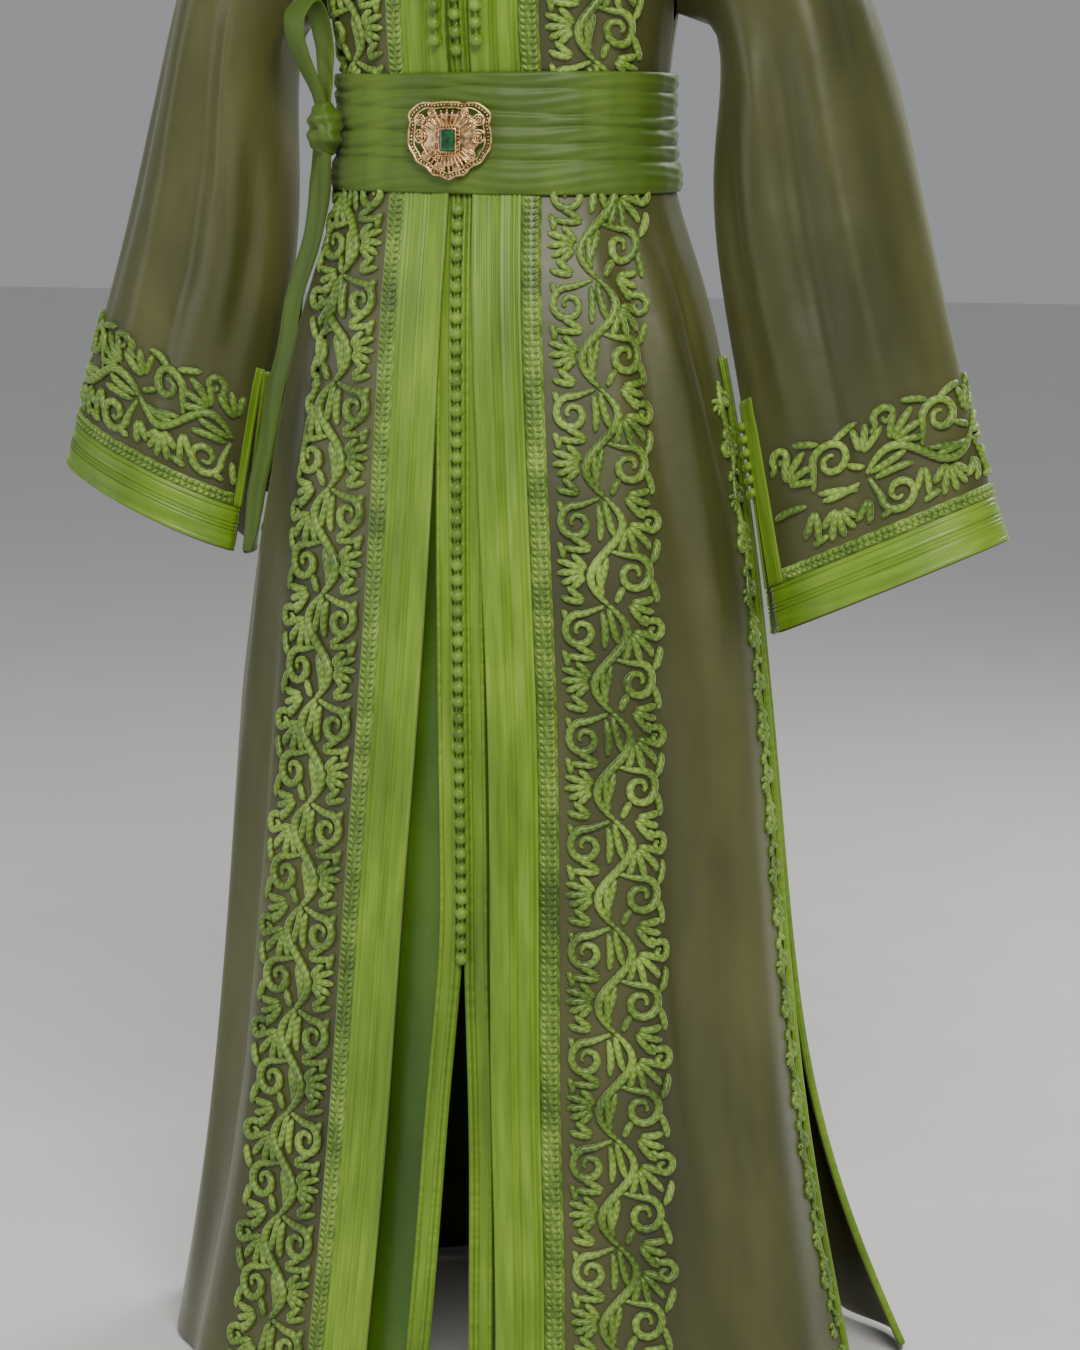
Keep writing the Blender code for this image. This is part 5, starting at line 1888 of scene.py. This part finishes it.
SLEEVE_CREASES: tuple[Crease, ...] = (
    Crease(((114, 0.6), (110, 2.4), (114, 4.8)), 0.015, 0.0075),
    Crease(((92, 0.9), (88, 2.6), (94, 5.8)), 0.012, -0.0080),
    Crease(((150, 0.6), (146, 2.2), (150, 4.4)), 0.014, -0.0050),
    Crease(((66, 1.4), (62, 2.8), (70, 4.6)), 0.012, 0.0045),
    Crease(((48, 1.6), (44, 2.8), (48, 4.2)), 0.010, -0.0050),
    Crease(((205, 0.8), (210, 2.6), (208, 4.8)), 0.015, 0.0065),
    Crease(((248, 1.0), (252, 2.8), (250, 5.2)), 0.013, -0.0070),
    Crease(((285, 1.2), (280, 2.8), (288, 4.6)), 0.013, 0.0050),
    Crease(((60, 2.0), (100, 2.5), (138, 2.7)), 0.010, -0.0035),
    Crease(((50, 2.9), (90, 3.3), (126, 3.2)), 0.010, -0.0030),
    Crease(((96, 3.9), (118, 4.1), (150, 4.0)), 0.012, 0.0025),
)


@dataclass
class Robe:
    """The outer robe: its cloth, and the charts for what is sewn on it."""

    wardrobe: Wardrobe
    cloth: dict[str, bpy.types.Object] = field(default_factory=dict)
    fronts: dict[Side, PatchChart] = field(default_factory=dict)
    sides: dict[Side, PatchChart] = field(default_factory=dict)
    back_sides: dict[Side, PatchChart] = field(default_factory=dict)
    rings: dict[Side, SleeveRings] = field(default_factory=dict)
    cuffs: dict[Side, PatchChart] = field(default_factory=dict)

    def sew(self) -> None:
        """Makes the cloth and its charts."""
        log.info("robe cloth")
        for node in ("front_left", "front_right", "back"):
            item = copy_cloth(node, f"{node}_satin", 2)
            surface = Surface([item])
            crease_cloth(item, ROBE_CREASES[node], body_locator(surface), level_outward)
            self.cloth[node] = item
        for side in Side:
            node = f"sleeve_{side.label}"
            item = copy_cloth(node, f"{node}_satin", 2)
            rings = SleeveRings(side, Surface([item]))
            crease_cloth(item, SLEEVE_CREASES, rings.at, rings.outward)
            self.rings[side] = SleeveRings(side, Surface([item]))
            self.cloth[node] = item
            self.cuffs[side] = self.rings[side].cuff_chart(3.7, 0.232)
        for side in Side:
            surface = Surface([self.cloth[f"front_{side.label}"]])
            start = -12.0 * side.value
            self.fronts[side] = edge_chart(surface, start, 0.35 * side.value, FRONT_HEIGHTS, 0.171)
            outer = np.arange(0.004, 0.926, 0.008)
            self.sides[side] = edge_chart(surface, 112.0 * side.value, -0.35 * side.value, outer, 0.045)
            self.back_sides[side] = edge_chart(Surface([self.cloth["back"]]), 60.0 * side.value,
                                               0.35 * side.value, outer, 0.02)
        for node, item in self.cloth.items():
            item.data.materials.append(self.wardrobe.robe)
            enter(item, [node])


@dataclass
class FrontTrims:
    """Band, braid and embroidery of one front."""

    wardrobe: Wardrobe
    side: Side
    chart: PatchChart

    def sew(self) -> list[bpy.types.Object]:
        """Makes the trims.

        Returns:
            The pieces.
        """
        name = self.side.label
        band = MeshBuilder()
        Strip("band", self.chart, 0.0003, BAND_WIDTH, 0.006, FRONT_TOP - 0.004, relief_of_band, 64,
              0.010).add_to(band)
        pieces = [sew_silk(band, self.wardrobe, f"front_band_{name}")]
        braid = MeshBuilder()
        Strip("braid", self.chart, BAND_WIDTH + 0.0004, BRAID_END - 0.0002, 0.006, FRONT_TOP - 0.004,
              plain_relief(0.0006), 4).add_to(braid)
        work = CordWork(self.chart, braid)
        work.herringbone(BAND_WIDTH + 0.0004, BRAID_END - 0.0004, 0.008, FRONT_TOP - 0.006)
        pieces.append(sew_cord(braid, self.wardrobe, f"front_braid_{name}"))
        cords = MeshBuilder()
        work = CordWork(self.chart, cords)
        start = FRONT_TOP - 0.040
        while start > -0.02:
            work.repeat(start, -1.0, BRAID_END, t_room=(0.006, FRONT_TOP - 0.012))
            start -= MOTIF_PITCH
        pieces.append(sew_cord(cords, self.wardrobe, f"front_embroidery_{name}"))
        return pieces


# Length of each sleeve's slit above the cuff's edge
SLIT_LENGTHS: dict[Side, float] = {Side.LEFT: 0.205, Side.RIGHT: 0.170}
# Where the cuff's band and braid end above its edge
CUFF_BAND_END = 0.0405
CUFF_BRAID_END = 0.052
# The right slit's bands lie mostly behind the sash's tails
SLIT_BAND_WIDTHS: dict[Side, float] = {Side.LEFT: 0.0215, Side.RIGHT: 0.0090}


@dataclass
class CuffTrims:
    """Band, braid and embroidery of one cuff."""

    wardrobe: Wardrobe
    side: Side
    chart: PatchChart

    def sew(self) -> list[bpy.types.Object]:
        """Makes the trims.

        Returns:
            The pieces.
        """
        name = self.side.label
        pieces = []
        band = MeshBuilder()
        Strip("band", self.chart, 0.0004, 0.040, 0.002, self.chart.t_end - 0.002, relief_of_band, 56,
              0.006).add_to(band)
        slit_top = SLIT_LENGTHS[self.side]
        width = SLIT_BAND_WIDTHS[self.side]
        for edge, inner in ((0.0006, width), (self.chart.t_end - 0.0006, self.chart.t_end - width)):
            Strip("slit band", self.chart, edge, inner, CUFF_BAND_END, slit_top, relief_of_band, 22, 0.005,
                  turned=True).add_to(band)
        if self.side is Side.LEFT:
            s = np.arange(slit_top - 0.080, slit_top - 0.012, 0.0118)
            for t in (0.0022, self.chart.t_end - 0.0022):
                centres, normals = self.chart.at(s, np.full(len(s), t))
                Buttons(self.wardrobe, 0.0042).add_beads(band, centres, normals)
        pieces.append(sew_silk(band, self.wardrobe, f"cuff_band_{name}"))
        braid = MeshBuilder()
        Strip("braid", self.chart, CUFF_BAND_END, CUFF_BRAID_END, width + 0.001,
              self.chart.t_end - width - 0.001, plain_relief(0.0006), 4, 0.004).add_to(braid)
        CordWork(self.chart, braid).herringbone(CUFF_BAND_END, CUFF_BRAID_END, width + 0.0015,
                                                self.chart.t_end - width - 0.0015)
        pieces.append(sew_cord(braid, self.wardrobe, f"cuff_braid_{name}"))
        cords = MeshBuilder()
        work = CordWork(self.chart, cords)
        count = int(self.chart.t_end / MOTIF_PITCH)
        pitch = self.chart.t_end / count
        for index in range(-1, count + 1):
            work.repeat(index * pitch + 0.02, 1.0, CUFF_BRAID_END, 1.0, pitch / MOTIF_PITCH,
                        self.chart.s_end - 0.002, (width + 0.0025, self.chart.t_end - width - 0.0025))
        pieces.append(sew_cord(cords, self.wardrobe, f"cuff_embroidery_{name}"))
        return pieces


@dataclass
class UnderDress:
    """The satin dress under the robe."""

    wardrobe: Wardrobe
    cloth: dict[str, bpy.types.Object] = field(default_factory=dict)
    fronts: dict[Side, PatchChart] = field(default_factory=dict)

    def sew(self) -> None:
        """Makes the cloth and its charts."""
        for node in ("under_front_left", "under_front_right", "under_back"):
            item = copy_cloth(node, f"{node}_satin", 2)
            self.cloth[node] = item
            item.data.materials.append(self.wardrobe.under)
            enter(item, [node])
        for side in Side:
            name = side.label
            item = self.cloth[f"under_front_{name}"]
            hem = min(vertex.co.z for vertex in item.data.vertices) + SHOULDER_HEIGHT
            self.fronts[side] = edge_chart(Surface([item]), -25.0 * side.value, 0.35 * side.value,
                                           np.arange(hem + 0.006, 1.265, 0.008), 0.05)
            chart = self.fronts[side]
            band = MeshBuilder()
            Strip("band", chart, 0.0003, 0.0215, chart.t_start, chart.t_end, plain_relief(0.0012),
                  10).add_to(band)
            work = CordWork(chart, band)
            for s in (0.0030, 0.0075, 0.0195):
                line = np.array([(s, chart.t_start), (s, chart.t_end / 2), (s, chart.t_end)])
                work.stroke(line, 0.0013, 1.0)
            sew_silk(band, self.wardrobe, f"under_band_{name}")


# Height of the lowest button over the sash, and the distance between buttons there
TOP_BUTTONS_START = 1.184
TOP_BUTTON_PITCH = 0.0148


def fasten(wardrobe: Wardrobe, robe: Robe, under: UnderDress) -> list[bpy.types.Object]:
    """Sews on the buttons.

    Args:
        wardrobe: The materials.
        robe: The robe, whose bands carry the side columns.
        under: The under-dress, whose edge carries the middle one.

    Returns:
        The pieces.
    """
    buttons = Buttons(wardrobe)
    chart = under.fronts[Side.LEFT]
    main = np.linspace(0.4060, 1.0520, 50)
    top = TOP_BUTTONS_START + TOP_BUTTON_PITCH * (np.arange(6) + 0.5)
    pieces = []
    for name, heights in (("button_column_centre", main), ("button_column_top", top)):
        points, normals = chart.at(np.zeros_like(heights), heights)
        pieces.append(buttons.column(name, points + normals * 0.0012, normals))
    for side in Side:
        heights = TOP_BUTTONS_START + TOP_BUTTON_PITCH * (np.arange(7) + 1.0)
        points, normals = robe.fronts[side].at(np.full_like(heights, 0.0077), heights)
        pieces.append(buttons.column(f"button_column_{side.label}", points + normals * 0.0012, normals))
    return pieces


@dataclass(frozen=True)
class SoftGood:
    """One cut of cloth, as it was before it was sewn and hung."""

    name: str
    flat: tuple[float, float]
    area: float
    held: str
    rests_on: tuple[str, ...]
    with_pieces: tuple[str, ...] = ()

    def declare(self) -> None:
        """Does nothing with the cloth."""


def soft_goods() -> list[SoftGood]:
    """Returns every cut of the kaftan's cloth."""
    goods = [
        SoftGood("back_satin", (0.95, 1.56), 0.927, "hung", ("under_back",),
                 ("back_side_trim_left_silk", "back_side_trim_right_silk")),
        SoftGood("sleeve_left_satin", (0.62, 0.80), 0.326, "hung", ("front_left", "back"),
                 ("cuff_band_left_silk", "cuff_braid_left_cord", "cuff_embroidery_left_cord")),
        SoftGood("sleeve_right_satin", (0.60, 0.74), 0.278, "hung", ("front_right", "back"),
                 ("cuff_band_right_silk", "cuff_braid_right_cord", "cuff_embroidery_right_cord")),
        SoftGood("under_back_satin", (0.74, 1.54), 0.787, "hung", ("under_front_left", "under_front_right")),
        SoftGood("belt_wrap_silk", (0.90, 0.115), 0.1035, "gathered", ("front_left", "front_right", "back"),
                 ("belt_knot_silk", "brooch_plaque_gold", "brooch_stone_glass")),
        SoftGood("belt_loop_silk", (0.028, 0.19), 0.0053, "folded", ("belt_knot",)),
        SoftGood("belt_tail_front_silk", (0.045, 0.38), 0.0165, "hung", ("belt_knot",)),
        SoftGood("belt_tail_back_silk", (0.045, 0.33), 0.0138, "hung", ("belt_knot",)),
    ]
    for side, area in ((Side.LEFT, 0.424), (Side.RIGHT, 0.433)):
        name = side.label
        trims = ("front_band", "side_trim")
        cords = ("front_braid", "front_embroidery", "side_embroidery", "button_column")
        goods.append(SoftGood(f"front_{name}_satin", (0.42, 1.56), area, "hung", (f"under_front_{name}",),
                              tuple(f"{trim}_{name}_silk" for trim in trims)
                              + tuple(f"{cord}_{name}_cord" for cord in cords)))
    middle = ("button_column_centre_cord", "button_column_top_cord")
    for side, area, extra in ((Side.LEFT, 0.400, middle), (Side.RIGHT, 0.422, ())):
        name = side.label
        goods.append(SoftGood(f"under_front_{name}_satin", (0.38, 1.54), area, "hung", ("under_back",),
                              (f"under_band_{name}_silk", *extra)))
    return goods


# The floor, the lights and the camera


@dataclass(frozen=True)
class Studio:
    """A pale floor, soft lights and the camera."""

    material: bpy.types.Material
    floor_height: float = -1.5450
    turn: float = 18.0
    distance: float = 3.4
    beside: float = 0.0306
    height: float = 1.15
    pitch: float = 8.70
    lens: float = 100.75

    def set_up(self) -> None:
        """Makes the floor, the lights, the world and the camera."""
        bpy.ops.object.select_all(action="DESELECT")
        bpy.ops.mesh.primitive_grid_add(x_subdivisions=12, y_subdivisions=12, size=36.0,
                                        location=(0.0, 0.0, self.floor_height))
        floor = bpy.context.active_object
        floor.name = "floor"
        bpy.ops.object.transform_apply(location=True, rotation=True, scale=True)
        floor.data.shade_smooth()
        floor.data.materials.append(self.material)
        self.light("key", (1.6, -3.4, 1.9), (0.0, 0.0, -0.7), 1.8, 200.0, (1.0, 0.97, 0.92))
        self.light("fill", (-3.0, -2.2, 0.2), (0.0, 0.0, -0.8), 2.4, 34.0, (0.93, 0.96, 1.0))
        self.light("rim", (1.4, 2.6, 1.5), (0.0, 0.0, -0.6), 1.6, 70.0, (1.0, 1.0, 1.0))
        world = bpy.data.worlds.new("studio")
        bpy.context.scene.world = world
        world.use_nodes = True
        background = world.node_tree.nodes["Background"]
        background.inputs["Color"].default_value = (0.90, 0.92, 0.95, 1.0)
        background.inputs["Strength"].default_value = 0.34
        self.camera()

    def light(self, name: str, place: Sequence[float], target: Sequence[float], size: float, power: float,
              colour: Colour) -> None:
        """Adds one soft light.

        Args:
            name: Its name.
            place: Where it is.
            target: Where it looks.
            size: Its side.
            power: Its power in watts.
            colour: Its colour.
        """
        data = bpy.data.lights.new(name, "AREA")
        data.shape = "SQUARE"
        data.size = size
        data.energy = power
        data.color = colour
        item = bpy.data.objects.new(name, data)
        item.location = place
        item.rotation_euler = (Vector(target) - Vector(place)).to_track_quat("-Z", "Y").to_euler()
        bpy.context.scene.collection.objects.link(item)

    def camera(self) -> None:
        """Places the camera as the photograph was taken."""
        turn = math.radians(self.turn)
        pitch = math.radians(self.pitch)
        place = Vector((
            self.distance * math.sin(turn) + self.beside * math.cos(turn),
            -self.distance * math.cos(turn) + self.beside * math.sin(turn),
            self.height - SHOULDER_HEIGHT,
        ))
        level = math.cos(pitch)
        ahead = Vector((-math.sin(turn) * level, math.cos(turn) * level, -math.sin(pitch)))
        data = bpy.data.cameras.new("camera")
        data.lens = self.lens
        data.sensor_width = 36.0
        data.sensor_fit = "AUTO"
        item = bpy.data.objects.new("camera", data)
        item.location = place
        item.rotation_euler = ahead.to_track_quat("-Z", "Y").to_euler()
        bpy.context.scene.collection.objects.link(item)
        bpy.context.scene.camera = item


def main() -> None:
    """Builds the kaftan and its studio."""
    wardrobe = make_wardrobe()
    robe = Robe(wardrobe)
    robe.sew()
    for side in Side:
        FrontTrims(wardrobe, side, robe.fronts[side]).sew()
        CuffTrims(wardrobe, side, robe.cuffs[side]).sew()
        SideTrims(wardrobe, side, robe.sides[side], robe.back_sides[side]).sew()
    under = UnderDress(wardrobe)
    under.sew()
    fasten(wardrobe, robe, under)
    Sash(wardrobe).tie()
    Clasp(wardrobe).make()
    for good in soft_goods():
        good.declare()
    Studio(wardrobe.floor).set_up()
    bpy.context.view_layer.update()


if __name__ == "__main__":
    main()
